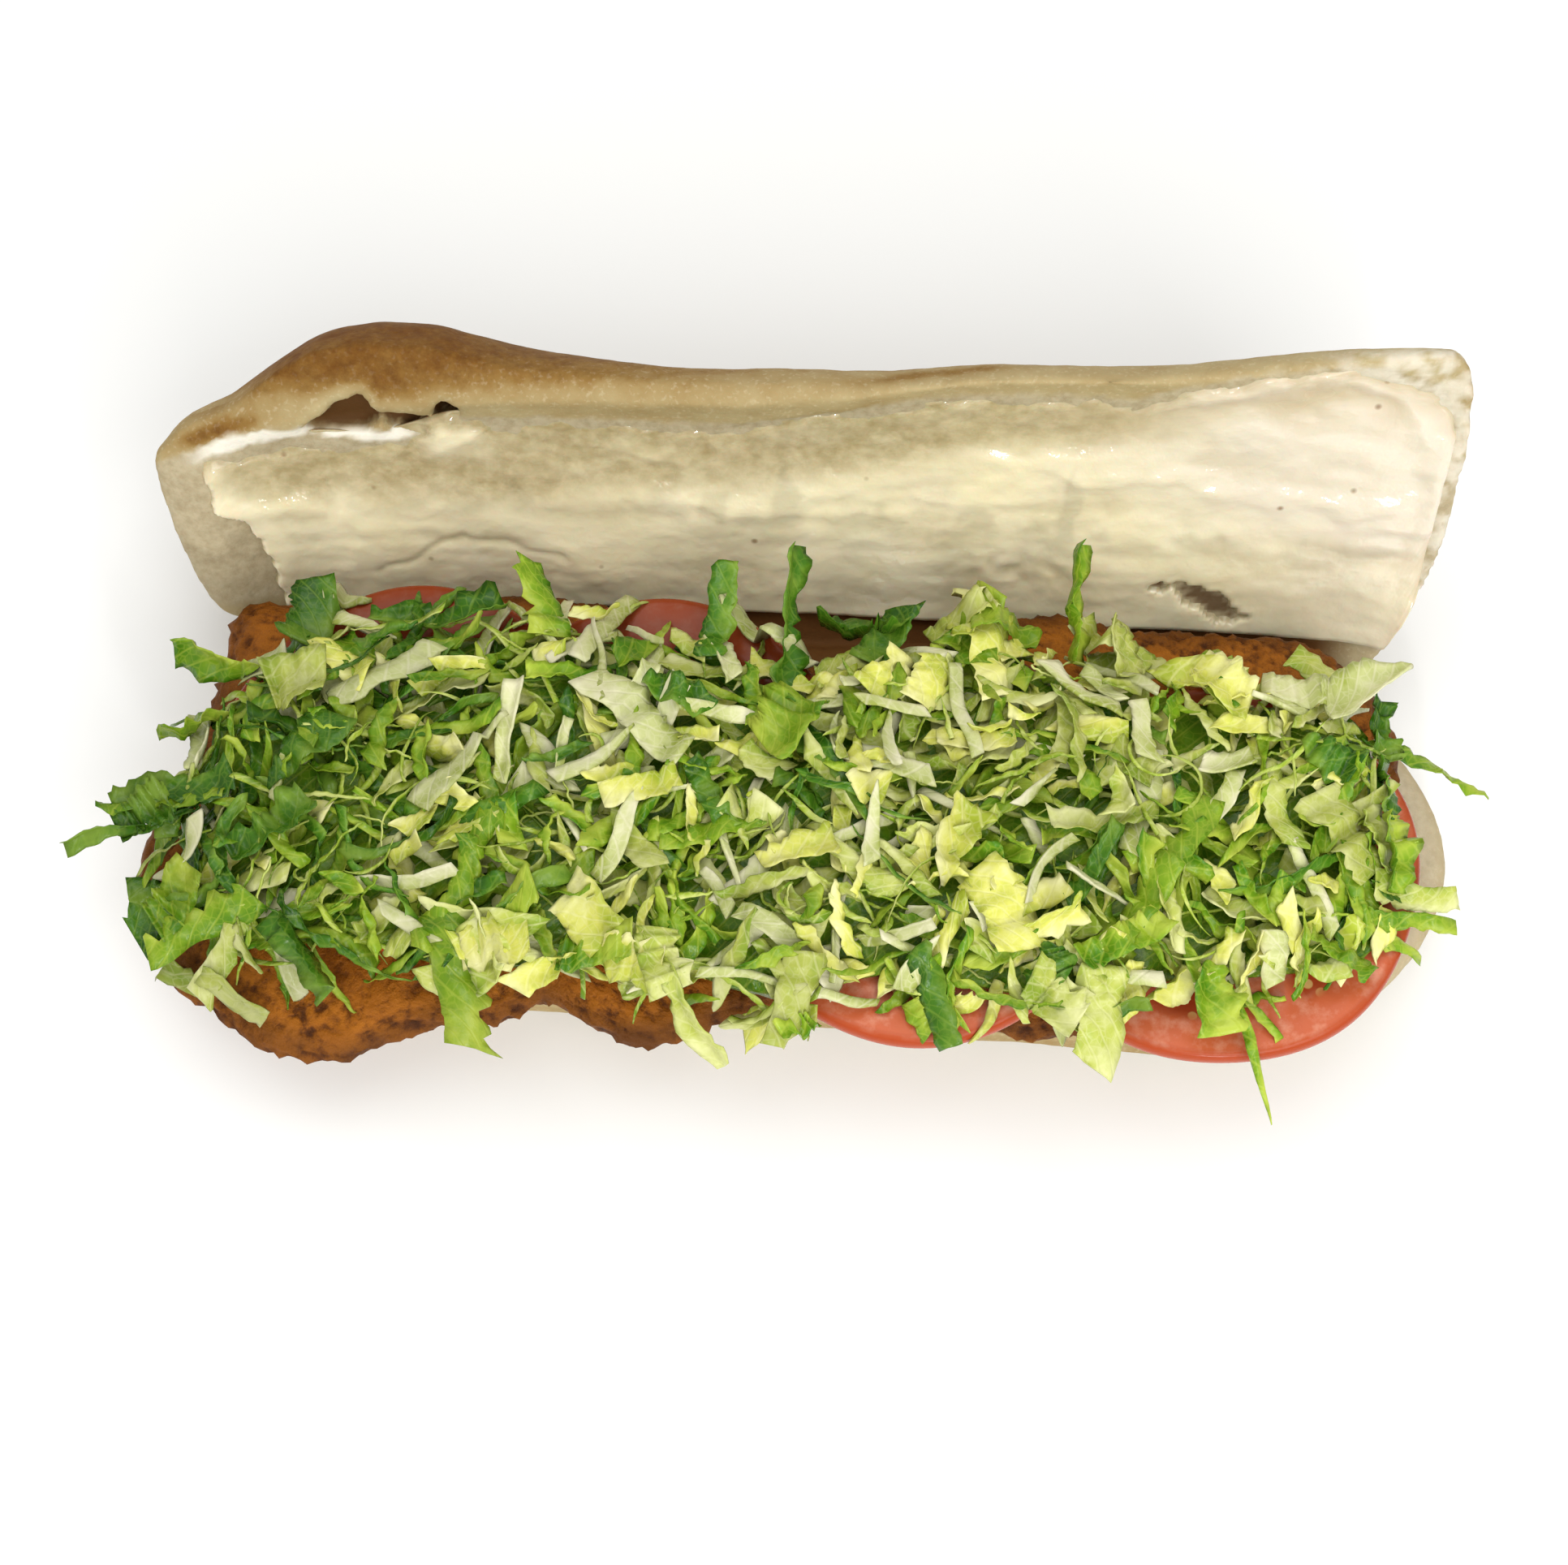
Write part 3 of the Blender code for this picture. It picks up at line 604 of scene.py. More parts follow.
# %% Toast
over_edge = ease(bread_v - crumb_top(bread_x) + 0.5 * bread_w, 2, 16) * on_lid
behind = ease(bread_w, 3, 16) * on_lid
left_end = ease(bread_x, -132, -100) * (1 - ease(bread_x, -82, -8))
blotches = lumps(bread_points * (0.6, 1, 1), 20 * MM, 11.0, octaves=4)
toast = 0.12 + 0.34 * np.maximum(over_edge, behind) + 0.44 * over_edge * left_end + 0.16 * behind
toast += 0.15 * blotches
# A browned streak on the rim right of the middle, and a sliver of crust at the left end
streak = np.exp(-(((bread_x - 20) / 15) ** 2) - ((bread_w - 5 - 0.1 * (bread_x - 20)) / 2.2) ** 2)
sliver = np.exp(-(((bread_x + 116) / 9) ** 2) - ((bread_v - crumb_top(bread_x) - 2) / 1.8) ** 2)
sliver = sliver * (bread_w < 6)
toast += 0.45 * (streak + 1.4 * sliver) * on_lid
# The lip above the gap pulled away pale
above_gap = bread_v - gap_middle(bread_x) - gap_half(bread_x)
lip = np.exp(-(((bread_x + 91) / 11) ** 2) - ((above_gap - 1.5) / 2.6) ** 2)
toast -= 0.5 * lip * on_lid * (bread_w < 14)
# The side of the lower half is browned, its underside and its rim are pale, and so is the lid's right end
toast += (1 - on_lid) * (0.3 * ease(bread_points[:, 2], 3 * MM, 9 * MM) - 0.1)
toast -= (1 - on_lid) * 0.25 * ease(bread_points[:, 2], 12 * MM, 19 * MM)
toast -= 0.14 * ease(bread_x, 70, 112) * on_lid * (1 - ease(bread_w, 4, 14))
toast = np.clip(toast, 0, 1)
print(f"toast is {toast.mean():.2f} on average and {toast.max():.2f} at most")

# %% [markdown]
# Some places don't follow toast: torn crumb is whitest where it was pulled, mayonnaise has smeared the right
# end, and the bare right end of the lower half is lightened as painted light. The fold beside the hinge is
# darkened to brown as painted shade. They are two more values.

# %% White places, painted light and painted shade in the fold
torn_edge = crumb_top(bread_x) - bread_v + edge_noise
white = on_lid * crumb * (1 - ease(torn_edge, 2.0, 3.4))
white = white * ease(bread_x, -125, -116) * (1 - ease(bread_x, -82, -76))
# A smear of mayonnaise on the right end of the lower half
smear = ease(bread_x + 4 * edge_noise, 104, 109) * (1 - ease(bread_x + 3 * edge_noise, 113, 118))
beside_smear = np.abs(bread_points[:, 1] - 5 * MM) + 2 * MM * edge_noise
smear = smear * base_crumb * (1 - ease(beside_smear, 12 * MM, 18 * MM))
white = np.maximum(white, 0.8 * smear)
# A film of mayonnaise on the right rim of the lid
film = ease(bread_x + 5 * edge_noise, 84, 112) * (1 - ease(bread_w + 3 * edge_noise, 2, 7)) * on_lid
white = np.maximum(white, 0.6 * film * ease(edge_noise, -0.5, 0.3))
# Painted light: the bare right end of the lower half lies in shade, and is lightened towards white
white = np.maximum(white, 0.12 * (1 - on_lid) * ease(bread_x, 100, 116))
# Painted shade: the back of the lower half's crumb and the foot of the lid, in the fold at the hinge, are
# darkened to brown
fold_shade = base_crumb * ease(bread_points[:, 1], 20 * MM, 32 * MM)
lid_foot = (bread_points[:, 1] > 34 * MM) * (bread_w < 9) * (bread_w > -4) * (1 - ease(bread_v, 1.5, 4))
fold_shade = np.maximum(fold_shade, lid_foot)
fold_shade *= 1 - ease(np.abs(bread_x - 4), 98, 108)
print(f"white on {np.mean(white > 0.3):.1%} and soaked on {np.mean(fold_shade > 0.3):.1%} of the points")

# %% [markdown]
# Crust is starch dried and browned in the oven, from pale straw to chestnut, with a floury bloom and a dull
# sheen. Crumb is an open foam of soft dough: matte, off-white, with pores 1 to 2 mm wide. One material
# holds both and mixes them by the values above, so that crust runs into crumb with no seam.

# %% Material: baked crust and soft crumb
bread_finish, tree, shader, place = new_material("baked_wheat_bread", 0.7, 1.4, 0.1, 1.2, sheen=0.2)
crumb_here = point_value(tree, "crumb")
toast_here = point_value(tree, "toast")
gap_here = point_value(tree, "gap")
# Blotches 6 mm apart and flour specks 0.9 mm apart
blotch = noise_texture(tree, place, 160.0, 5.0, 0.6)
speck = noise_texture(tree, place, 1100.0, 2.0)
uneven = calculate(tree, "MULTIPLY_ADD", blotch, 0.6, -0.3)
browned = calculate(tree, "ADD", toast_here, uneven)
gold = ramp(tree, browned, -0.1, 0.6)
brown = ramp(tree, browned, 0.4, 1.1)
crust = mix(tree, gold, "#b8a87e", "#92743f")
flour = ramp(tree, speck, 0.56, 0.72, 0.22)
crust = mix(tree, flour, crust, "#ddd0b2")
crust = mix(tree, brown, crust, "#744708")
# Browned blisters 1 to 2 mm wide
blister = noise_texture(tree, place, 520.0, 3.0, 0.7)
scorch = calculate(tree, "MULTIPLY", blister, browned)
scorch = ramp(tree, scorch, 0.28, 0.6, 0.6)
crust = mix(tree, scorch, crust, "#56300a")
# Pores 2 mm apart, pressed flat by the knife
pore = noise_texture(tree, place, 480.0, 5.0, 0.65)
pore_shade = ramp(tree, pore, 0.32, 0.6)
foam = mix(tree, pore_shade, "#a59575", "#b9ab8c")
white_here = point_value(tree, "white")
skin = mix(tree, crumb_here, crust, foam)
skin = mix(tree, white_here, skin, "#efe9da")
# Painted shade: the fold at the hinge is darkened to brown
fold_shade_here = point_value(tree, "fold_shade")
skin = mix(tree, fold_shade_here, skin, "#6b4520")
# Inside the gap and the pockets: browned crust, darkened further as painted shade
skin = mix(tree, gap_here, skin, "#57391a")
wrinkle = noise_texture(tree, place, 420.0, 6.0, 0.65)
height = add(tree, "Mix", {0: crumb_here, 2: wrinkle, 3: pore}).outputs[0]
put_on(tree, shader, skin, height, 0.6, 0.5)

bread_values = {"crumb": crumb, "toast": toast, "gap": gap, "white": white, "fold_shade": fold_shade}
roll_piece = make_piece("bread_roll", bread_points, bread_faces, bread_finish, bread_values)
place_piece(roll_piece, "bread", "roll")

# %% [markdown]
# ## Mayonnaise
# The spread was put on with a knife, in long strokes along the roll. Below it lies thick and smooth, with
# soft ridges where a stroke ended, and above it was scraped thin, so that the crumb shows through. The
# front of the coat is computed as a height over the cut face. Where the height falls below nothing, the
# sheet dips into the bread, and that gives the coat its natural ragged edge.

# %% Sizes of the spread
# Up to this line, as v, the coat is thick
mayo_thick_top = curve((
    (-124, 29), (-112, 30), (-96, 28), (-78, 25), (-49, 27), (-25, 34), (-2, 38), (22, 43), (45, 47),
    (72, 54), (100, 60), (121, 58),
))
# The coat ends a little below the crust, and beside the torn part white crumb shows above it
below_crust = curve((
    (-124, 3.4), (-112, 4.4), (-98, 4.0), (-86, 2.6), (-80, 1.6), (-74, 0.6), (121, 0.6),
))
MAYO_LEFT, MAYO_RIGHT = -123.5, 120.5
MAYO_SUNK = 1.1
MAYO_BACKING = 0.5
# Strokes of the knife: points of the crest as x and v, its height and half width, in millimetres
KNIFE_RIDGES = (
    (((-94, 27), (-91, 20), (-93, 11)), 0.6, 2.0),
    (((-88, 9), (-72, 20), (-58, 17), (-50, 15)), -0.5, 0.7),
    (((-75, 24.5), (-66, 25), (-61, 21), (-50, 17.5), (-46, 11)), 0.35, 2.0),
    (((-77, 47), (-74, 42), (-68, 45)), 1.1, 3.0),
    (((-41, 42.5), (-27, 40), (-27, 31), (-19, 27.5), (6, 28.5), (16, 29.5)), 0.4, 1.3),
    (((45, 40.5), (50, 39), (69, 41), (79, 37)), 0.45, 1.2),
    (((87, 36.5), (95, 38.5), (104, 35.5), (114, 39), (121, 40.5)), 0.6, 1.6),
    (((101, 34), (110, 31.5), (122, 34.5)), 0.5, 1.5),
    (((20, 33), (32, 33), (42, 33.5)), 0.3, 1.0),
    (((56, 16), (68, 17)), 0.3, 1.2),
    (((106, 17), (112, 15), (120, 12), (116, 2)), 0.5, 1.7),
    (((71, 61), (82, 65.5), (97, 69.5), (109, 64), (117, 52), (120, 42)), 0.7, 1.9),
    (((-22, 52), (-10, 52), (10, 55), (23, 57), (42, 59.5), (56, 61)), 0.35, 1.6),
)
print(f"{len(KNIFE_RIDGES)} strokes of the knife")

# %% [markdown]
# The height of the coat is a sum, as a painter builds up a surface: patches, strokes drawn along the roll,
# swirls, the ridges of the knife and a few dabs. At the edges it falls below nothing, so the coat thins out.

# %% Height of the spread
def ridge_height(x, v, crest, high, half):
    """A fold along a line of points, steep below and running out above. A negative height makes a groove."""
    away, above = np.full(x.shape, 1e9), np.zeros(x.shape)
    for (x0, v0), (x1, v1) in zip(crest, crest[1:]):
        length = math.hypot(x1 - x0, v1 - v0)
        t = np.clip(((x - x0) * (x1 - x0) + (v - v0) * (v1 - v0)) / length**2, 0, 1)
        here = np.hypot(x - x0 - t * (x1 - x0), v - v0 - t * (v1 - v0))
        above = np.where(here < away, (v - v0) * (x1 - x0) - (x - x0) * (v1 - v0), above)
        away = np.minimum(away, here)
    side = ease(above, -2, 2) if high > 0 else 0
    return high * np.exp(-((away / (half * (1 + 1.6 * side))) ** 1.6))


def spread_height(x, v):
    """Height of the mayonnaise over the cut face, in millimetres."""
    flat = np.stack([x.ravel(), v.ravel(), np.zeros(x.size)], 1) * MM
    strokes = lumps(flat * (0.28, 1, 1), 9 * MM, 3.0, octaves=2).reshape(x.shape)
    swirls = lumps(flat, 17 * MM, 6.0, octaves=2).reshape(x.shape)
    fine = lumps(flat * (0.5, 1, 1), 3.2 * MM, 9.0).reshape(x.shape)
    patches = lumps(flat * (0.7, 1, 1), 7 * MM, 14.0, octaves=3).reshape(x.shape)
    drawn = lumps(flat * (0.1, 1, 1), 2.4 * MM, 19.0).reshape(x.shape)
    thick = 1 - ease(v - mayo_thick_top(x) + 5 * swirls + 3 * patches, -6, 6)
    height = 0.38 + 0.3 * patches + thick * (1.1 + 0.45 * strokes + 0.2 * swirls + 0.12 * drawn) + 0.14 * fine
    wavy_x = x + 2.2 * lumps(flat, 8 * MM, 41.0).reshape(x.shape)
    wavy_v = v + 1.6 * lumps(flat, 6 * MM, 43.0).reshape(x.shape)
    for crest, tall, half in KNIFE_RIDGES:
        height = height + ridge_height(wavy_x, wavy_v, crest, tall, half)
    # Small dents where the spread was dabbed on
    dabbed = np.exp(-(((x - 42) / 14) ** 2) - ((v - 17) / 5) ** 2)
    height = height + 0.8 * dabbed * lumps(flat, 3 * MM, 17.0).reshape(x.shape)
    # The coat thins out towards the cut edge, the left end and the hinge
    upper_border = np.minimum(lid_high(x) - 1, crumb_top(x) - below_crust(x))
    edge = upper_border - v + 1.8 * patches + 0.9 * fine
    left = x - (-120 + 11 * (1 - ease(v, 8, 36))) + 2 * swirls
    right = 121.5 - x + 0.8 * patches
    height = height - 2.0 * (1 - ease(np.minimum(edge, right), -2.5, 4))
    # At the left end it stands as a thick lip, where the knife was lifted
    left = left + 1.5 * patches + 0.8 * fine
    height = height + 0.7 * (1 - ease(left, 2, 7)) - 3.4 * (1 - ease(left, -0.9, 1.1))
    return height - 4 * (1 - ease(pocket_away(x, v) + 0.4 * fine, 0.75, 1.15))


# %% [markdown]
# The coat is a sheet with a front at that height and a back sunk into the crumb, so that no gap can show
# between the two. Its rows run up the cut face, and its columns along the roll.

# %% Make the spread
mayo_columns, mayo_rows = 310, 84
share = np.linspace(0, 1, mayo_rows)[None, :]
mayo_x = np.repeat(np.linspace(MAYO_LEFT, MAYO_RIGHT, mayo_columns)[:, None], mayo_rows, 1)
mayo_start = np.maximum(lid_low(mayo_x), 0) + 2.0
mayo_end = np.minimum(lid_high(mayo_x) - 0.4, crumb_top(mayo_x) - below_crust(mayo_x) + 2)
mayo_v = mayo_start + (mayo_end - mayo_start) * share
mayo_height = spread_height(mayo_x, mayo_v)
rim = np.zeros(mayo_x.shape, bool)
rim[[0, -1]] = rim[:, [0, -1]] = True
front_height = np.where(rim, -MAYO_SUNK, np.maximum(mayo_height, -MAYO_SUNK))
front_w = face_hollow(mayo_x, mayo_v) - front_height
back_w = face_hollow(mayo_x, mayo_v) + MAYO_SUNK + MAYO_BACKING
mayo_front = lid_points(mayo_x, mayo_v, front_w).reshape(-1, 3)
mayo_back = lid_points(mayo_x, mayo_v, back_w).reshape(-1, 3)
mayo_faces = sheet_faces(mayo_columns, mayo_rows)
thickness = np.concatenate([mayo_height.ravel(), np.ones(len(mayo_front))])
# Towards the top right the coat is whiter where it was scraped, and towards the right end it is also
# lightened as painted light
whiter_and_lit = ease(mayo_x, 30, 90) * ease(mayo_v + 0.1 * mayo_x, 26, 52) + 0.4 * ease(mayo_x, 70, 115)
whiter_and_lit = np.tile(np.clip(whiter_and_lit, 0, 1).ravel(), 2)
print(f"the coat stands up to {mayo_height.max():.1f} mm over the crumb")

# %% [markdown]
# Mayonnaise is an emulsion of oil in water and egg: it scatters light under its surface, so it looks
# creamy, and its skin is wet and glossy. Where it is thin the grey-beige crumb shows through.

# %% Material: egg mayonnaise
mayo_finish, tree, shader, place = new_material("egg_mayonnaise", 0.22, 1.46, 0.3, 1.4)
shader.inputs["Coat Weight"].default_value = 0.4
shader.inputs["Coat Roughness"].default_value = 0.08
coat = point_value(tree, "coat")
cloud = noise_texture(tree, place, 90.0, 4.0)
cream = mix(tree, cloud, "#e6d9ad", "#efe5c8")
# The coat's own whiter tone at the top right, and painted light towards the right end
whiter_and_lit_here = point_value(tree, "whiter_and_lit")
cream = mix(tree, whiter_and_lit_here, cream, "#e3d8c4")
# Crumb seen through a thin coat, mottled every 3 mm
mottle = noise_texture(tree, place, 330.0, 4.0, 0.6)
mottle = ramp(tree, mottle, 0.38, 0.64)
under = mix(tree, mottle, "#a8966c", "#c0b088")
under = mix(tree, whiter_and_lit_here, under, "#c9b898")
cover = ramp(tree, coat, 0.25, 1.5)
tone = mix(tree, cover, under, cream)
# A few brown specks of crust, about 1 mm wide
dot = add(tree, "TexVoronoi", {"Vector": place, "Scale": 70.0}).outputs["Distance"]
speck = ramp(tree, dot, 0.06, 0.02, 0.7)
tone = mix(tree, speck, tone, "#7d5a30")
tree.links.new(ramp(tree, coat, 0.0, 0.9, 0.13, 0.42), shader.inputs["Roughness"])
ripple = noise_texture(tree, place, 260.0, 3.0)
put_on(tree, shader, tone, ripple, 0.5, 0.7)

mayo_points = np.concatenate([mayo_front, mayo_back])
mayo_values = {"coat": thickness, "whiter_and_lit": whiter_and_lit}
mayo_piece = make_piece("mayonnaise_coat", mayo_points, mayo_faces, mayo_finish, mayo_values)
place_piece(mayo_piece, "mayonnaise", "mayonnaise")

# %% [markdown]
# ## Cutlets
# Two flat pieces of meat in a thick crumb coat, deep fried. The coat is broken into crags that brown most
# on their tips and along the rim. Each cutlet is a squared oval with swellings, drawn in rings around its
# middle, and then roughened by noise at three sizes: folds, crumb clusters and single crumbs.

# %% Sizes and outline of the cutlets
FILLING_BOTTOM = BASE_TOP + 0.3
CUTLET_THICKNESS = 10.4
CUTLET_SQUARENESS = 3.0
# Middle, half sizes, and swellings of the outline as direction in degrees, growth and spread
CUTLETS = {
    "cutlet_left": (
        (-57, -0.5), (70.5, 43.5),
        ((145, 8, 6), (167, -6, 13), (196, 3, 10), (212, 5, 12), (231, 11, 14), (240, 2.5, 4), (283, -6, 10),
         (302, 4, 12), (90, 2, 30)),
    ),
    "cutlet_right": (
        (66.5, 0.5), (47.5, 42),
        ((45, 4, 20), (20, 3, 15), (120, 5, 18), (163, -3, 16), (238, 3, 16), (262, -3, 14), (300, -4, 15)),
    ),
}


def cutlet_radius(name, angle):
    """Distance in millimetres from the middle of the cutlet to its edge, in the given directions."""
    _, (long_half, wide_half), swellings = CUTLETS[name]
    power = CUTLET_SQUARENESS
    along, across = np.abs(np.cos(angle) / long_half), np.abs(np.sin(angle) / wide_half)
    radius = (along**power + across**power) ** (-1 / power)
    for direction, growth, spread in swellings:
        away = np.abs((np.degrees(angle) - direction + 180) % 360 - 180)
        radius = radius + growth * np.exp(-((away / spread) ** 2))
    return radius


def cutlet_points(name):
    """Smooth cutlet: rings from the middle of the top, over the side, to the middle of the bottom."""
    (middle_x, middle_y), _, _ = CUTLETS[name]
    angle = np.linspace(0, 2 * math.pi, 350, endpoint=False)
    radius = cutlet_radius(name, angle)
    top = np.linspace(0.03, 0.9, 40)
    over = np.linspace(math.asin(0.9**3.5), math.pi / 2, 16)[1:]
    side = np.sin(over) ** (1 / 3.5)
    shares = np.concatenate([top, side, side[-2::-1], top[::-2]])
    upper, lower = np.sqrt(1 - top**7), -np.sqrt(1 - top[::-2] ** 7)
    rises = np.concatenate([upper, np.cos(over), -np.cos(over[-2::-1]), lower])
    reach = shares[:, None] * radius[None, :]
    x, y = middle_x + reach * np.cos(angle), middle_y + reach * np.sin(angle)
    z = FILLING_BOTTOM + CUTLET_THICKNESS / 2 * (1 + rises[:, None]) + 0 * x
    return np.stack([x, y, z], -1) * MM


for name in CUTLETS:
    length, width, _ = np.ptp(cutlet_points(name).reshape(-1, 3), axis=0) / MM
    print(f"{name}: {length:.0f} x {width:.0f} mm")

# %% [markdown]
# A crumb coat is wheat crumb fried in oil: rough, with browned tips, hollows darkened as painted shade, and a
# thin film of oil that gives small glints. Crumbs are 1 to 2 mm wide and stand in clusters, and the frying
# browned them in soft patches, golden in the middle and darkest along the rim.

# %% Material: fried crumb coat
coat_finish, tree, shader, place = new_material("fried_crumb_coat", 0.45, 1.42, sheen=0.22)
crag_here = point_value(tree, "crag")
rim_here = point_value(tree, "rim")
crumbs = noise_texture(tree, place, 620.0, 5.0, 0.7)
patch = noise_texture(tree, place, 75.0, 5.0, 0.6)
grit = add(tree, "Mix", {0: 0.55, 2: crag_here, 3: crumbs}).outputs[0]
# Painted shade: the low crumbs in the hollows of the relief are darkest
depth = ramp(tree, grit, 0.34, 0.62)
fried = mix(tree, depth, "#472305", "#8c4e0c")
golden = calculate(tree, "MULTIPLY", patch, depth)
golden = ramp(tree, golden, 0.2, 0.5, 0.8)
fried = mix(tree, golden, fried, "#b16a18")
dark_rim = calculate(tree, "MULTIPLY", rim_here, patch)
dark_rim = ramp(tree, dark_rim, 0.15, 0.6, 0.8)
fried = mix(tree, dark_rim, fried, "#3a1c08")
put_on(tree, shader, fried, grit, 1.0, 1.2)

# %% [markdown]
# The crags are real relief: each point moves along its normal by the sum of three noises. The flat top gets
# less than the side, where the crumbs stand free. The same sum, as a value, tells the material what stands
# out: tips brown, and hollows get painted shade.

# %% Make the cutlets
for name in CUTLETS:
    rings = cutlet_points(name)
    points, faces = closed_loft(rings)
    quads = grid_faces(len(rings), rings.shape[1], wrap=True)
    normals = outward(points, quads)
    normals *= np.sign(np.sum(normals * (points - points.mean(0)), 1).mean())
    folds = lumps(points, 9 * MM, 21.0)
    clusters = 1 - 2.2 * np.abs(lumps(points, 3.6 * MM, 23.0))
    crumbs_here = lumps(points, 1.3 * MM, 25.0, octaves=2)
    flat_share = np.abs(normals[:, 2])
    crag = 0.4 * folds + (0.85 - 0.35 * flat_share) * clusters + 0.5 * crumbs_here
    points = points + normals * ((1.1 * crag - 0.75 * flat_share) * MM)[:, None]
    out = np.linalg.norm(rings[..., :2] / MM - CUTLETS[name][0], axis=2)
    rim_share = np.append(ease(out / out.max(0), 0.82, 1.0).ravel(), [0, 0])
    values = {"crag": 0.5 + 0.5 * np.clip(crag, -1, 1), "rim": rim_share}
    made = make_piece(name + "_coat", points, faces, coat_finish, values)
    place_piece(made, "fried_crumb", name)

# %% [markdown]
# ## Tomato slices
# Four slices lie like tiles, each with its right side on the next one's left side. A slice has a skin only
# at its rim. Inside lie the firm outer wall, walls like spokes, and between them hollows with wet gel and
# seeds. The hollows are sunk a little, as knives leave them.

# %% Sizes of the slices
TOMATO_THICKNESS = 4.6
TOMATO_TILT = math.radians(5.5)
TOMATO_LOWEST = FILLING_BOTTOM + CUTLET_THICKNESS + 0.1
TOMATO_GAP = 0.3
# Name, middle, radius and number of gel hollows
TOMATOES = (
    ("tomato_1", (-78, 4), 37.5, 7),
    ("tomato_2", (-31, 3), 37.8, 6),
    ("tomato_3", (22, -7), 40.5, 8),
    ("tomato_4", (79, -11.5), 37.6, 7),
)
between = (TOMATO_THICKNESS + TOMATO_GAP) / math.cos(TOMATO_TILT)
steps_right = np.diff([middle[0] for _, middle, _, _ in TOMATOES]) * math.tan(TOMATO_TILT) - between
tomato_heights = np.concatenate([[0], np.cumsum(steps_right)])
radii = np.array([radius for _, _, radius, _ in TOMATOES])
slice_bottoms = tomato_heights - radii * math.sin(TOMATO_TILT) - TOMATO_THICKNESS / 2
tomato_heights = tomato_heights - slice_bottoms.min() + TOMATO_LOWEST
print("tomato slices lie at", np.round(tomato_heights, 1), "mm")


FLESH_RINGS = 34


def tomato_points(middle, radius, spokes, height, seed):
    """Rings of a slice, and for each point its share of the radius and how deep it lies in a gel hollow."""
    angle = np.linspace(0, 2 * math.pi, 150, endpoint=False)
    flesh = np.linspace(0.04, 0.955, FLESH_RINGS)
    side = np.linspace(0.2, math.pi - 0.2, 11)
    shares = np.concatenate([flesh, 0.955 + 0.045 * np.sin(side) ** 0.7, flesh[::-1]])[:, None]
    half = TOMATO_THICKNESS / 2
    flat_part = np.full(FLESH_RINGS, half)
    rises = np.concatenate([flat_part, half * np.cos(side), -flat_part])[:, None]
    lobed = 1 + 0.012 * np.sin(5 * angle + radius) + 0.01 * np.sin(2 * angle)
    reach = radius * shares * lobed[None, :]
    x, y = reach * np.cos(angle), reach * np.sin(angle)
    flat = np.stack([x.ravel(), y.ravel(), np.full(x.size, seed)], 1) * MM
    wander = lumps(flat, 14 * MM, seed).reshape(x.shape)
    petal = np.cos(spokes * (angle[None, :] + 0.35 * wander)) + 0.3 * wander
    gel = ease(petal, 0.0, 0.6) * ease(shares, 0.28, 0.42) * (1 - ease(shares, 0.74, 0.82))
    bulge = 0.12 * lumps(flat, 3 * MM, seed + 2).reshape(x.shape)
    sag = 0.35 * (1 - ease(shares, 0.8, 0.93)) + 0.55 * gel
    z = rises + np.sign(rises) * (bulge - sag) * (np.abs(rises) > 0.9 * half)
    turned_x = middle[0] + x * math.cos(TOMATO_TILT) - z * math.sin(TOMATO_TILT)
    turned_z = height + x * math.sin(TOMATO_TILT) + z * math.cos(TOMATO_TILT)
    points = np.stack([turned_x, middle[1] + y, turned_z], -1) * MM
    return points, np.repeat(shares, len(angle), 1), gel


# %% [markdown]
# Ripe tomato: a waxy red skin, wet pink-red flesh that lets light a little way in, paler towards the core,
# and orange gel with pale seeds 2 mm wide. The cut face is glossy with juice.

# %% Material: ripe tomato
tomato_finish, tree, shader, place = new_material("ripe_tomato", 0.24, 1.36, 0.12, 1.2, sheen=0.3)
out_share = point_value(tree, "out_share")
gel_here = point_value(tree, "gel")
fibre = noise_texture(tree, place, 260.0, 5.0, 0.6)
core_tone = ramp(tree, out_share, 0.1, 0.75)
flesh = mix(tree, core_tone, "#d18d62", "#c4613c")
pale_fibre = ramp(tree, fibre, 0.48, 0.68, 0.7)
flesh = mix(tree, pale_fibre, flesh, "#d89478")
seed_spot = add(tree, "TexVoronoi", {"Vector": place, "Scale": 300.0}).outputs["Distance"]
seed_share = ramp(tree, seed_spot, 0.34, 0.28)
gel = mix(tree, seed_share, "#a8401f", "#cfa565")
flesh = mix(tree, gel_here, flesh, gel)
at_rim = ramp(tree, out_share, 0.945, 0.985)
tone = mix(tree, at_rim, flesh, "#a8441f")
# Painted shadow: towards the fold the slices lie in the lid's shadow, and are darkened to brown-red
lid_shadow = add(tree, "SeparateXYZ", {"Vector": place}).outputs["Y"]
lid_shadow = ramp(tree, lid_shadow, 0.0, 0.028, 0.8)
tone = mix(tree, lid_shadow, tone, "#7d300a")
put_on(tree, shader, tone, fibre, 0.3, 0.3)

# %% [markdown]
# Each slice is lofted like the cutlets, and its gel hollows go into the mesh and into a value. The material
# puts gel and seeds only where that value is high.

# %% Make the slices
for (name, middle, radius, spokes), height in zip(TOMATOES, tomato_heights):
    rings, out_from_core, gel_depth = tomato_points(middle, radius, spokes, height, radius)
    points, faces = closed_loft(rings)
    values = {"out_share": np.append(out_from_core, [0, 0]), "gel": np.append(gel_depth, [0, 0])}
    made = make_piece(name + "_flesh", points, faces, tomato_finish, values)
    place_piece(made, "tomato", name)

# %% [markdown]
# ## Lettuce
# The heap is shredded leaf lettuce: thick white ribs, pale blades, yellow crinkled heart and green outer
# leaf, cut into strips a few millimetres wide. The strips are dropped one after another. Each is laid on a
# map of heights that holds all that lies below it, and is then added to the map, so that they pile up and
# bridge gaps as real ones do. Under them a crumpled core fills what nobody sees.

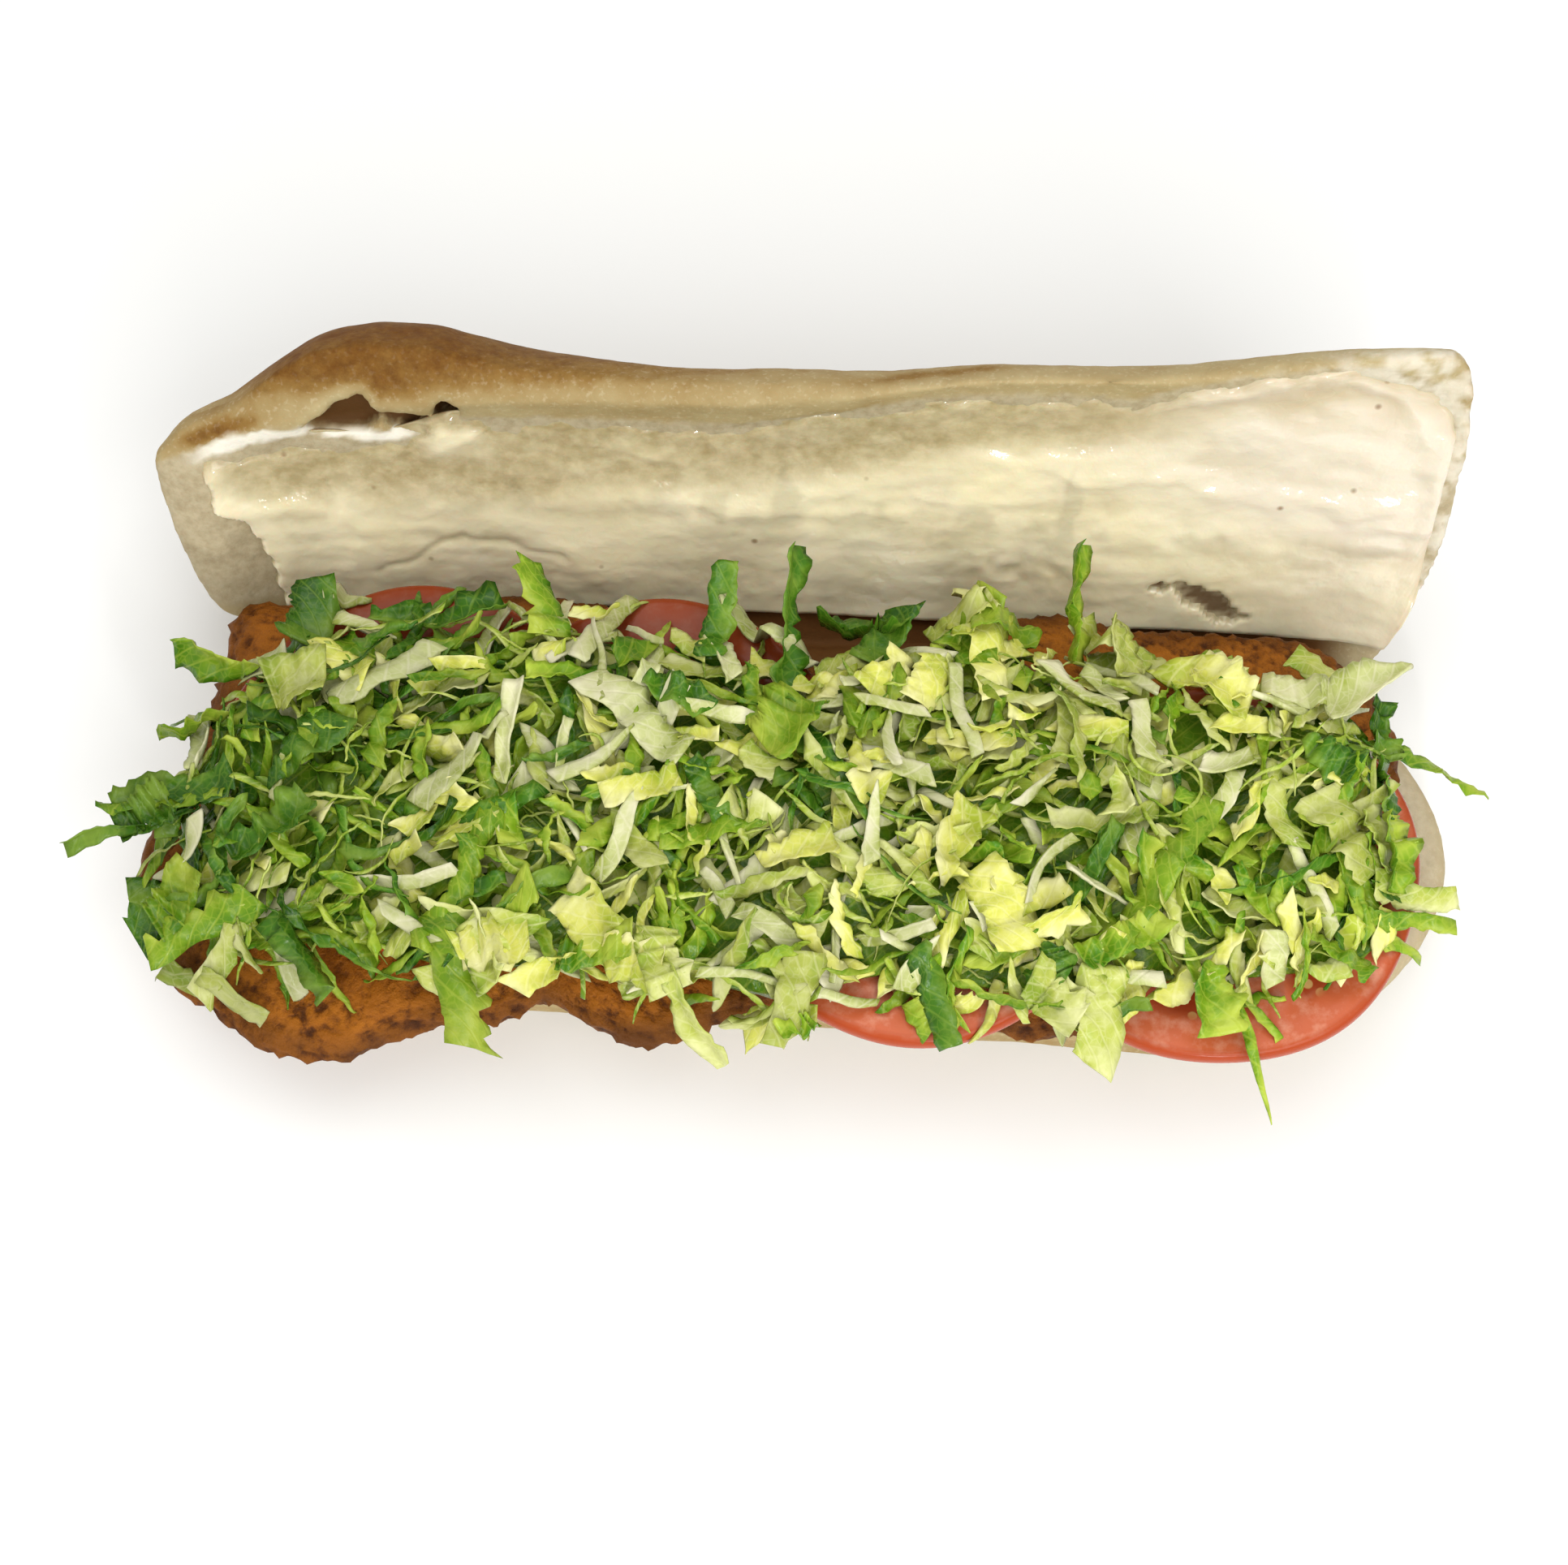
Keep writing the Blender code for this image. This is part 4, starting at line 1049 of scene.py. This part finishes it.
# %% Map of the filling below the lettuce, in millimetres
MAP_LEFT, MAP_FRONT = -150, -66
MAP_LENGTH, MAP_WIDTH = 300, 134
map_x = MAP_LEFT + np.arange(MAP_LENGTH) + 0.5
map_y = MAP_FRONT + np.arange(MAP_WIDTH) + 0.5
grid_x, grid_y = np.meshgrid(map_x, map_y, indexing="ij")
full = np.array([base_fullness(x) for x in map_x])[:, None]
base_half = (BASE_BACK - BASE_FRONT - BASE_SKEW * grid_x) / 2
on_base = np.abs(grid_y - BASE_BACK + base_half) < base_half * full
on_base &= (grid_x > BASE_LEFT) & (grid_x < BASE_RIGHT)
ground = np.where(on_base, BASE_TOP, 0.0)
for name, ((middle_x, middle_y), _, _) in CUTLETS.items():
    dx, dy = grid_x - middle_x, grid_y - middle_y
    inside = np.hypot(dx, dy) < cutlet_radius(name, np.arctan2(dy, dx)) - 1
    ground = np.where(inside, FILLING_BOTTOM + CUTLET_THICKNESS, ground)
for (_, (middle_x, middle_y), radius, _), height in zip(TOMATOES, tomato_heights):
    dx, dy = grid_x - middle_x, grid_y - middle_y
    top = height + dx * math.tan(TOMATO_TILT) + TOMATO_THICKNESS / 2
    ground = np.where(np.hypot(dx, dy) < radius, np.maximum(ground, top), ground)
print(f"the filling reaches {ground.max():.1f} mm")

# %% [markdown]
# The heap's outline is two curves, its front and its back, as y along the roll. Its level is the filling's
# highest point within about a centimetre, plus a rise that falls to nothing at the outline, and soft humps.

# %% Outline and level of the heap
heap_front = curve((
    (-125, -20), (-118, -33), (-104, -39), (-84, -39), (-61, -44), (-44, -41), (-28, -41), (-8, -46),
    (17, -41), (47, -45), (60, -41), (86, -39), (103, -36), (111, -26), (115, -14),
))
heap_back = curve((
    (-125, -12), (-120, 6), (-113, 20), (-98, 31), (-70, 35), (-42, 34), (-16, 29), (-5, 22), (12, 29),
    (40, 32), (57, 26), (75, 27), (100, 27), (109, 18), (115, -6),
))
HEAP_LEFT, HEAP_RIGHT = -125, 115
HEAP_RISE = 10.5
HEAP_REACH = 10.5
CORE_DEPTH = 5.5

under_heap = ground.copy()
shifts = range(-int(HEAP_REACH), int(HEAP_REACH) + 1)
for shift_x in shifts:
    for shift_y in shifts:
        if math.hypot(shift_x, shift_y) < HEAP_REACH:
            under_heap = np.maximum(under_heap, np.roll(ground, (shift_x, shift_y), (0, 1)))
front, back = heap_front(grid_x), heap_back(grid_x)
across = (2 * grid_y - front - back) / (back - front)
along = (2 * grid_x - HEAP_LEFT - HEAP_RIGHT) / (HEAP_RIGHT - HEAP_LEFT)
heap_share = np.clip(1 - np.abs(across) ** 2.6 - np.abs(along) ** 9, 0, 1)
flat = np.stack([grid_x.ravel(), grid_y.ravel(), np.full(grid_x.size, 0.3)], 1)
humps = lumps(flat, 17).reshape(grid_x.shape)
heap_level = under_heap + 1.6 + (HEAP_RISE + 2.6 * humps) * heap_share**0.55
print(f"the heap rises to {heap_level[heap_share > 0].max():.1f} mm")

# %% [markdown]
# The map of heights starts as the ground with the bare core on it. Two short functions read it and raise it.
# The lid's coat goes in first, so that shreds beside it lean on it.

# %% Map of what the next shred lies on
core_share = ease(heap_share, 0.12, 0.5)
surface = np.where(core_share > 0, np.maximum(ground, heap_level - CORE_DEPTH), ground)


def cell_of(x, y):
    """Row and column of the map at x and y in millimetres."""
    row = np.clip((np.asarray(x) - MAP_LEFT).astype(int), 0, MAP_LENGTH - 1)
    return row, np.clip((np.asarray(y) - MAP_FRONT).astype(int), 0, MAP_WIDTH - 1)


def raise_surface(points_mm, sink=0.0):
    """The points become part of what the next shred lies on."""
    flat_points = points_mm.reshape(-1, 3)
    np.maximum.at(surface, cell_of(flat_points[:, 0], flat_points[:, 1]), flat_points[:, 2] - sink)


raise_surface(mayo_front / MM)
print(f"map of {surface.shape[0]} x {surface.shape[1]} cells, up to {surface.max():.1f} mm")

# %% [markdown]
# Each kind of shred has its own size and temper: a rib is thick, stiff and straight, a leaf thin, ruffled
# and limp. Lengths, widths and thickness are in millimetres, tilt is in degrees, and grid is the number of
# points along and across.

# %% Kinds of shred
LOOK = (
    "grid", "length", "width", "thick", "crinkle", "ragged",
    "curl", "ruffle", "tilt", "bend", "pointed", "sag",
)
SHRED_ROWS = (
    ("lettuce_rib", (18, 6), (9, 26), (2.2, 5.6), 1.2, 0.3, 0.35, 0.16, 0.2, 14, 0.35, 0.25, 0.05),
    ("lettuce_pale", (20, 7), (7, 22), (2.6, 7), 0.6, 1.0, 0.6, -0.08, 1.1, 20, 0.6, 0.35, 0.08),
    ("lettuce_heart", (16, 8), (6, 15), (3, 7.6), 0.5, 1.4, 0.6, -0.12, 1.5, 22, 0.5, 0.3, 0.1),
    ("lettuce_leaf", (24, 6), (8, 26), (2.2, 5.8), 0.45, 1.2, 0.75, -0.12, 1.7, 24, 0.7, 0.4, 0.1),
    ("lettuce_dark", (24, 5), (9, 30), (2.0, 5.4), 0.45, 1.1, 0.75, 0.14, 1.5, 26, 0.7, 0.45, 0.1),
    ("lettuce_thread", (24, 4), (8, 28), (0.9, 2.2), 0.5, 1.0, 0.5, 0.0, 0.3, 20, 1.8, 0.8, 0.1),
)
SHRED_KINDS = {kind: dict(zip(LOOK, values)) for kind, *values in SHRED_ROWS}
laid = {kind: [] for kind in SHRED_KINDS}
print("kinds of shred:", ", ".join(SHRED_KINDS))

# %% [markdown]
# Seen from above, a shred is a strip about a gently swaying line. The knife cut some of its edges straight,
# and others are the leaf's own ragged margin. Ends are cut off or drawn to a point, and often slant. Some
# shreds have one free end that sticks out, and these are straighter and blunter.

# %% Shape of a shred seen from above
SWAY_LENGTH = 17


def uneven_edge(s, size, depth, draw):
    """Factor near 1 along an edge, rough at two sizes."""
    seed = draw.uniform(0, 99)
    line = np.stack([s, np.full(len(s), seed), np.zeros(len(s))], 1)
    return 1 + depth * lumps(line, size) + 0.9 * depth * lumps(line, size / 3.5, 3.0)


def end_taper(u, draw, pointed):
    """Share of the width near one end: cut straight off, or drawn to a torn point."""
    if draw.random() > pointed:
        return 1
    return np.clip(u / draw.uniform(0.3, 0.9), 0, 1) ** 0.8 * 0.92 + 0.08


def one_edge(s, u, width, look, draw, least=0.35):
    """Distance of one edge from the middle line: cut straight, or the leaf's own ragged margin."""
    start, end = draw.uniform(least, 1.15), draw.uniform(least, 1.15)
    rough = 0.12 if draw.random() < 0.5 else look["ragged"]
    return width / 2 * (start + (end - start) * u) * uneven_edge(s, 7, rough, draw)


def shred_course(look, start, heading, length, draw, free):
    """Shares and lengths along the strip, and the turn and place of its middle line at each of them."""
    u = np.linspace(0, 1, look["grid"][0])
    s = u * length
    sway = draw.uniform(0, 0.25) * np.sin(2 * math.pi * s / SWAY_LENGTH + draw.uniform(0, 6.28))
    bend = draw.gauss(0, look["bend"])
    turn = heading + (0.15 * bend * u if free else bend * (u - 0.5)) + sway
    forward = np.stack([np.cos(turn), np.sin(turn)], 1)
    return u, s, turn, np.array(start) + np.cumsum(forward, 0) * length / (len(u) - 1)


def shred_outline(look, u, s, width, draw, free):
    """Place across the strip, as a share q and in millimetres t, and the shift along it of a slanted end."""
    least, pointed, most = (0.85, 0.15, 0.3) if free else (0.35, look["pointed"], 0.9)
    left, right = one_edge(s, u, width, look, draw, least), one_edge(s, u, width, look, draw, least)
    taper = end_taper(u, draw, pointed) * end_taper(1 - u, draw, pointed)
    q = np.linspace(-1, 1, look["grid"][1])[None, :]
    t = np.where(q < 0, q * (right * taper)[:, None], q * (left * taper)[:, None])
    slant = draw.uniform(-most, most) * (1 - u) + draw.uniform(-most, most) * u
    return q, t, slant[:, None] * t


trial_look = SHRED_KINDS["lettuce_leaf"]
trial_u, trial_s, _, _ = shred_course(trial_look, (0, 0), 0.0, 20, random.Random(0), False)
_, trial_t, _ = shred_outline(trial_look, trial_u, trial_s, 5, random.Random(0), False)
print(f"a trial leaf shred 20 mm long is up to {np.ptp(trial_t, axis=1).max():.1f} mm wide")

# %% [markdown]
# The height under a shred is read at each of its points. A strip banks as the ground slopes, rests on the
# highest points and sags between them: a parabola hung from every point of support, and the highest of
# these at each place, gives that in one step. A shred that wouldn't fit under the heap's level is refused.

# %% How a shred rests
HEAP_OVER = 0.8
STEEPEST = 0.7


def shred_bank(look, below, t, u, draw):
    """Sideways tip of the strip at each step, in radians: as the ground slopes, and a little at random."""
    slope = np.sum((below - below.mean(1, keepdims=True)) * t) / np.sum(t * t)
    bank = math.atan(np.clip(slope, -0.6, 0.6)) + math.radians(draw.gauss(0, look["tilt"]))
    return np.clip(bank + draw.uniform(-0.6, 0.6) * (u - 0.5), -1.2, 1.2)[:, None]


def resting_height(look, u, s, needed, course, draw):
    """Height of a dropped strip's middle line, or None where it doesn't fit into the heap."""
    line = np.polyfit(s, needed, 1)
    # A strip sticks out over an edge, and leans no steeper than the limit
    steeper = line[0] - np.clip(line[0], -STEEPEST, STEEPEST)
    line = line - np.array((steeper, -steeper * s.mean()))
    rest = needed - np.polyval(line, s)
    hang = rest[None, :] - look["sag"] / 2 * (s[:, None] - s[None, :]) ** 2
    middle = np.polyval(line, s) + hang.max(1)
    here = cell_of(*course.T)
    inside = heap_share[here] > 0.05
    if inside.mean() < 0.45 or np.mean((middle - heap_level[here])[inside]) > HEAP_OVER:
        return None
    return middle + draw.choice((0, 0, 1, 4)) * ease(u, 0.5, 1.3)


def free_height(start, rise, u, needed):
    """Height of the middle line of a strip with its root in the heap and a free tip."""
    root = min(heap_level[cell_of(*start)] - 2.6, needed[0] + 3)
    return np.maximum(root + rise * u**1.6, needed)


print(f"a shred may stand {HEAP_OVER} mm over the heap, with a slope of {STEEPEST} at most")

# %% [markdown]
# The last step gives the strip its body: crinkles, a curl and ruffled edges along its own normal, and a
# thickness that thins out to the edges. It is then added to the map, sunk a little, as leaves press into
# each other. Values for tint and green, and places on the flat sheet, are kept for the material.

# %% Lay one shred
SHRED_SINK = 0.35


def lay_shred(kind, start, heading, length, width, draw, rise=None):
    """Shapes one shred over the map and keeps it. rise sets the height of a free tip over its root."""
    look = SHRED_KINDS[kind]
    free = rise is not None
    u, s, turn, course = shred_course(look, start, heading, length, draw, free)
    q, t, shift = shred_outline(look, u, s, width, draw, free)
    cos_turn, sin_turn = np.cos(turn)[:, None], np.sin(turn)[:, None]
    x = course[:, :1] - sin_turn * t + cos_turn * shift
    y = course[:, 1:] + cos_turn * t + sin_turn * shift
    below = surface[cell_of(x, y)]
    bank = shred_bank(look, below, t, u, draw)
    clear = below - t * np.sin(bank)
    needed = 0.45 * clear.max(1) + 0.55 * clear.mean(1)
    if free:
        middle = free_height(start, rise, u, needed)
    else:
        middle = resting_height(look, u, s, needed, course, draw)
    if middle is None:
        return False
    # Crinkle, curl and ruffled edges
    seed = draw.uniform(0, 99)
    sheet = np.stack([np.repeat(s[:, None], t.shape[1], 1).ravel(), t.ravel(), np.full(t.size, seed)], 1)
    relief = look["crinkle"] * lumps(sheet, 4.0, octaves=3).reshape(t.shape)
    relief += look["curl"] * np.abs(t) * np.abs(q) + draw.choice((0, 0, 0.4, -0.4, 0.8)) * np.abs(t)
    relief += look["ruffle"] * np.abs(q) ** 2 * lumps(sheet * (1, 0.3, 1), 3.0, 7.0).reshape(t.shape)
    # Body of the sheet, and its two faces along the normal
    normal = np.stack([np.sin(bank) * sin_turn, -np.sin(bank) * cos_turn, np.cos(bank)], -1)
    normal = normal + np.zeros(t.shape + (3,))
    flat_x = course[:, :1] - sin_turn * t * np.cos(bank) + cos_turn * shift
    flat_y = course[:, 1:] + cos_turn * t * np.cos(bank) + sin_turn * shift
    body = np.stack([flat_x, flat_y, middle[:, None] + t * np.sin(bank) + look["thick"] / 2], -1)
    body += normal * relief[..., None]
    half = normal * (look["thick"] / 2 * (1 - 0.6 * q**2))[..., None]
    raise_surface(body, SHRED_SINK - look["thick"] / 2)
    raise_surface((body[:-1] + body[1:]) / 2, SHRED_SINK - look["thick"] / 2)
    # Lighter towards the middle and the right end of the heap, and greener towards one end of the strip
    tint = 0.65 * draw.random() + 0.35 * ease(start[0], -110, -20) + 0.3 * ease(start[0], 45, 100)
    greener, across = draw.uniform(-0.45, 0.45), draw.uniform(-0.35, 0.35)
    green = 0.5 + greener * (2 * u[:, None] - 1) + across * q + 0.25 * lumps(sheet, 6, 5.0).reshape(t.shape)
    laid[kind].append((body + half, body - half, tint, green, sheet.reshape(t.shape + (3,))))
    return True


print(f"each shred sinks {SHRED_SINK} mm into the ones below it")

# %% [markdown]
# The shares of the kinds change along the heap, as in the photo: dark narrow leaf at the left, white ribs
# and yellow hearts in the middle, lime leaf at the right. Of seven random spots each shred takes the one
# with the most room below the heap's level, so that the heap fills evenly.

# %% Drop the shreds
SHARES_AT = (-120, -80, -40, 0, 40, 80, 115)
KIND_SHARES = {
    "lettuce_rib": (0.10, 0.14, 0.20, 0.18, 0.15, 0.12, 0.12),
    "lettuce_pale": (0.10, 0.18, 0.26, 0.32, 0.32, 0.28, 0.26),
    "lettuce_heart": (0.05, 0.10, 0.13, 0.19, 0.21, 0.18, 0.14),
    "lettuce_leaf": (0.34, 0.34, 0.26, 0.20, 0.24, 0.34, 0.36),
    "lettuce_dark": (0.42, 0.24, 0.12, 0.07, 0.06, 0.05, 0.07),
    "lettuce_thread": (0.26, 0.26, 0.26, 0.26, 0.26, 0.26, 0.26),
}
SHRED_DROPS = 3600
CANDIDATES = 7
DROP_FRONT, DROP_BACK = -46, 36
LEAST_ROOM = -0.8
NO_ROOM = -99

draw = random.Random(7)
dropped = 0
for _ in range(SHRED_DROPS):
    spots = []
    for _ in range(CANDIDATES):
        spots.append((draw.uniform(HEAP_LEFT, HEAP_RIGHT), draw.uniform(DROP_FRONT, DROP_BACK)))
    cells = [cell_of(*spot) for spot in spots]
    room = [heap_level[cell] - surface[cell] if heap_share[cell] > 0.04 else NO_ROOM for cell in cells]
    best = max(range(CANDIDATES), key=room.__getitem__)
    if room[best] < LEAST_ROOM:
        continue
    middle = spots[best]
    weights = [np.interp(middle[0], SHARES_AT, KIND_SHARES[kind]) for kind in SHRED_KINDS]
    kind = draw.choices(list(SHRED_KINDS), weights)[0]
    length = draw.uniform(*SHRED_KINDS[kind]["length"])
    width = draw.uniform(*SHRED_KINDS[kind]["width"])
    heading = draw.uniform(0, 2 * math.pi)
    start = (middle[0] - length / 2 * math.cos(heading), middle[1] - length / 2 * math.sin(heading))
    end = (middle[0] + length / 2 * math.cos(heading), middle[1] + length / 2 * math.sin(heading))
    # Few shreds hang over the front, the back and the right end, more over the left end
    hangs = min(heap_share[cell_of(*start)], heap_share[cell_of(*end)]) <= 0
    if hangs and draw.random() < (0.2 if middle[0] < -96 else 0.75):
        continue
    dropped += lay_shred(kind, start, heading, length, width, draw)
print(f"{dropped} shreds dropped;", {kind: len(sheets) for kind, sheets in laid.items()})

# %% [markdown]
# A random heap can't give the few shreds that the eye remembers. Those that stick out, hang over the filling
# or stand in front of the lid are placed one by one, and so are the bright and dark ones on top.

# %% Shreds that stick out and shreds on top
# Kind, x and y of the root, heading in degrees, length, width, rise of the tip
STRAY_SHREDS = (
    ("dark", -108, -2, 193, 24, 7, -2), ("dark", -113, -10, 187, 28, 3.2, -4),
    ("leaf", -106, 20, 160, 18, 8, 1), ("dark", -108, -22, 214, 20, 7, -2),
    ("pale", -104, -30, 235, 16, 6, -4), ("leaf", -66, -28, 285, 24, 9, -6),
    ("pale", -30, -32, 300, 26, 5, -6), ("pale", 0, -34, 262, 16, 7, -3), ("dark", 20, -32, 292, 18, 5, -4),
    ("leaf", 78, -34, 292, 27, 3, -7), ("pale", 56, -34, 262, 18, 9, -4), ("leaf", 92, -27, 340, 14, 7, -1),
    ("pale", 104, -17, 352, 17, 5, -2), ("leaf", 103, -23, 3, 18, 4, -3), ("leaf", 104, 14, 340, 27, 5, -7),
    ("dark", -99, 24, 84, 15, 8, 3), ("dark", -20, 23, 86, 19, 4.5, 8), ("dark", -6, 17, 88, 27, 6, 9),
    ("dark", 10, 24, 60, 14, 9, 2), ("leaf", 49, 26, 88, 20, 6, 13), ("leaf", 74, 33, 333, 22, 9, 1),
    ("rib", 96, 16, 30, 20, 9, 3), ("leaf", -50, 26, 110, 16, 7, 4), ("leaf", 30, 24, 80, 16, 8, 5),
)
for kind, x, y, heading, length, width, rise in STRAY_SHREDS:
    lay_shred("lettuce_" + kind, (x, y), math.radians(heading), length, width, draw, rise)
# Kind, x and y of one end, heading in degrees, length, width
TOP_SHREDS = (
    ("leaf", -109, -6, 188, 25, 3.5), ("pale", -123, -36, 342, 23, 4.5), ("rib", -98, 37, 10, 10, 5),
    ("pale", -104, 14, 14, 11, 9), ("rib", -56, 9, 232, 24, 6), ("rib", -44, 18, 316, 25, 7),
    ("rib", -18, 38, 327, 21, 6.5), ("dark", 17, 31, 160, 16, 9), ("heart", 37, 16, 106, 18, 9),
    ("heart", 9, 16, 49, 12, 8), ("heart", 19, 15, 70, 12, 7), ("pale", 108, 25, 148, 16, 7),
    ("heart", 84, 18, 144, 13, 9), ("leaf", 75, -1, 240, 36, 6.5), ("heart", -40, -7, 18, 15, 4.5),
    ("heart", 25, -21, 73, 15, 9), ("heart", 41, -34, 119, 18, 10), ("heart", -45, -24, 317, 12, 9),
    ("leaf", -57, -9, 246, 30, 5.5), ("dark", -89, 9, 227, 19, 9), ("dark", -93, -8, 221, 18, 7),
    ("leaf", -102, -26, 207, 22, 7), ("dark", -99, -29, 318, 18, 7), ("pale", 41, -37, 320, 12, 8.5),
    ("rib", 86, -27, 280, 9, 5), ("dark", 109, 22, 276, 13, 8), ("dark", 92, 11, 316, 12, 7),
    ("dark", -23, 1, 308, 15, 4.5), ("dark", -33, 16, 338, 15, 9), ("leaf", -7, -11, 189, 20, 6),
    ("leaf", 0, 15, 235, 14, 12), ("dark", 44, -31, 283, 8, 8), ("leaf", 19, -41, 305, 7, 6),
    ("leaf", 3, -44, 211, 8, 5), ("leaf", 66, -26, 210, 17, 6), ("pale", 95, 1, 294, 19, 9),
    ("dark", -120, -7, 214, 12, 8), ("leaf", -115, -20, 241, 13, 8), ("dark", -121, -23, 165, 9, 6),
    ("leaf", -110, 10, 203, 15, 8), ("leaf", 74, -32, 280, 14, 8), ("pale", 52, 29, 10, 16, 8),
    ("pale", 60, 22, 100, 14, 8), ("heart", 30, 30, 80, 12, 7), ("pale", 22, 33, 20, 14, 7),
    ("leaf", 44, 32, 170, 14, 6), ("pale", 66, 28, 150, 16, 7), ("rib", 98, 20, 160, 12, 6),
    ("pale", -60, -30, 290, 12, 8),
    ("heart", -50, -32, 200, 13, 9), ("heart", -38, -34, 340, 12, 8), ("pale", -28, -30, 280, 12, 8),
    ("leaf", -46, -36, 10, 14, 7), ("pale", 103, -3, 300, 13, 8), ("leaf", 107, -4, 270, 14, 7),
    ("dark", 107, 8, 275, 12, 7),
)
for kind, x, y, heading, length, width in TOP_SHREDS:
    lay_shred("lettuce_" + kind, (x, y), math.radians(heading), length, width, draw, 0)
print(f"{len(STRAY_SHREDS)} stray shreds and {len(TOP_SHREDS)} top shreds laid")

# %% [markdown]
# Lettuce is a thin wet leaf with a waxy skin that gives small soft glints, and pale veins run slantwise from
# the rib. The six finishes share this recipe and differ in their colours, from the rib end of a shred to its
# green end. Real leaves let light through. Here the blades are opaque, because hundreds of see-through
# sheets render slowly, and their lighter colours stand for that light.

# %% Materials: lettuce from white rib to dark leaf
LETTUCE_COLOURS = {
    "lettuce_rib": ("#dad6b2", "#c0c486", "#98a24a"),
    "lettuce_pale": ("#cfd092", "#aeb652", "#839a2e"),
    "lettuce_heart": ("#e2df9c", "#d2d261", "#a5b336"),
    "lettuce_leaf": ("#abba42", "#77981c", "#4c7c12"),
    "lettuce_dark": ("#7c9a34", "#457416", "#2a540e"),
    "lettuce_thread": ("#c9cf7c", "#9aae34", "#648418"),
}


def lettuce_finish(name, rib_end, middle, green_end):
    made, tree, shader, place = new_material("fresh_" + name, 0.27, 1.36, sheen=0.36)
    green = point_value(tree, "green")
    tint = point_value(tree, "tint")
    sheet = add(tree, "Attribute", attribute_name="sheet").outputs["Vector"]
    blotch = noise_texture(tree, sheet, 0.32, 4.0)
    ripeness = calculate(tree, "MULTIPLY_ADD", blotch, 0.9, green)
    low = ramp(tree, ripeness, 0.55, 0.95)
    high = ramp(tree, ripeness, 0.95, 1.35)
    tone = mix(tree, low, rib_end, middle)
    tone = mix(tree, high, tone, green_end)
    # Veins slant over the blade every 3 mm, finer ones make a net with 1.6 mm meshes
    slanted = add(tree, "Mapping", {"Vector": sheet, "Rotation": (0, 0, math.radians(52))}).outputs[0]
    waves = {"Vector": slanted, "Scale": 0.11, "Distortion": 3.0, "Detail": 1.0, "Detail Scale": 0.4}
    veins = add(tree, "TexWave", waves).outputs["Fac"]
    meshes = {"Vector": sheet, "Scale": 0.6}
    net = add(tree, "TexVoronoi", meshes, feature="DISTANCE_TO_EDGE").outputs["Distance"]
    vein_share = ramp(tree, veins, 0.9, 1.0, 0.45)
    net_share = ramp(tree, net, 0.1, 0.0, 0.3)
    pale = calculate(tree, "MAXIMUM", vein_share, net_share)
    tone = mix(tree, pale, tone, rib_end)
    light = ramp(tree, tint, 0.0, 1.0, 1.1, 0.68)
    tone = add(tree, "HueSaturation", {"Value": light, "Color": tone}).outputs[0]
    blister = noise_texture(tree, sheet, 0.9, 3.0)
    height = calculate(tree, "ADD", blister, vein_share)
    put_on(tree, shader, tone, height, 0.35, 0.4)
    return made


lettuce_finishes = {kind: lettuce_finish(kind, *colours) for kind, colours in LETTUCE_COLOURS.items()}

# %% [markdown]
# The core fills the heap under the shreds, so that no light comes through from behind. It stays inside the
# heap's outline and has the colour of leaf in shade.

# %% Make the core
CORE_INSET = 6
CORE_CLEARANCE = 0.4
core_rings = []
for x in np.linspace(HEAP_LEFT + 9, HEAP_RIGHT - 8, 90):
    y = np.linspace(heap_front(x) + CORE_INSET, heap_back(x) - CORE_INSET, 32)
    here = cell_of(np.full(len(y), x), y)
    low = under_heap[here] + CORE_CLEARANCE
    crumple = lumps(np.stack([np.full(len(y), x), y, np.zeros(len(y))], 1), 5.0, 2.0, octaves=2)
    high = np.maximum(heap_level[here] - CORE_DEPTH + crumple, low + CORE_CLEARANCE)
    ring = np.concatenate([np.stack([y, high], 1), np.stack([y, low], 1)[::-1]])
    core_rings.append(np.column_stack([np.full(len(ring), x), ring]) * MM)
core_points, core_faces = closed_loft(core_rings)
core_values = {
    "green": np.full(len(core_points), 0.75),
    "tint": np.full(len(core_points), 0.2),
    "sheet": core_points / MM,
}
core = make_piece("lettuce_core", core_points, core_faces, lettuce_finishes["lettuce_leaf"], core_values)
place_piece(core, "lettuce", "lettuce")

# %% [markdown]
# All shreds of a kind become one object, because a thousand objects would be slow to handle. Every shred of
# a kind has the same grid, so its faces are the faces of the first one with their numbers moved on.

# %% Make one piece for each kind of shred
for kind, sheets in laid.items():
    one = sheet_faces(*SHRED_KINDS[kind]["grid"])
    size = 2 * sheets[0][0][..., 0].size
    points = np.concatenate([side.reshape(-1, 3) for top, low, *_ in sheets for side in (top, low)])
    faces = np.concatenate([one + i * size for i in range(len(sheets))])
    green = np.concatenate([np.tile(green.ravel(), 2) for *_, green, _ in sheets])
    tint = np.repeat([tint for _, _, tint, _, _ in sheets], size)
    sheet = np.concatenate([np.tile(own.reshape(-1, 3), (2, 1)) for *_, own in sheets])
    values = {"green": green, "tint": tint, "sheet": sheet}
    made = make_piece(kind, points * MM, faces, lettuce_finishes[kind], values)
    place_piece(made, "lettuce", "lettuce")
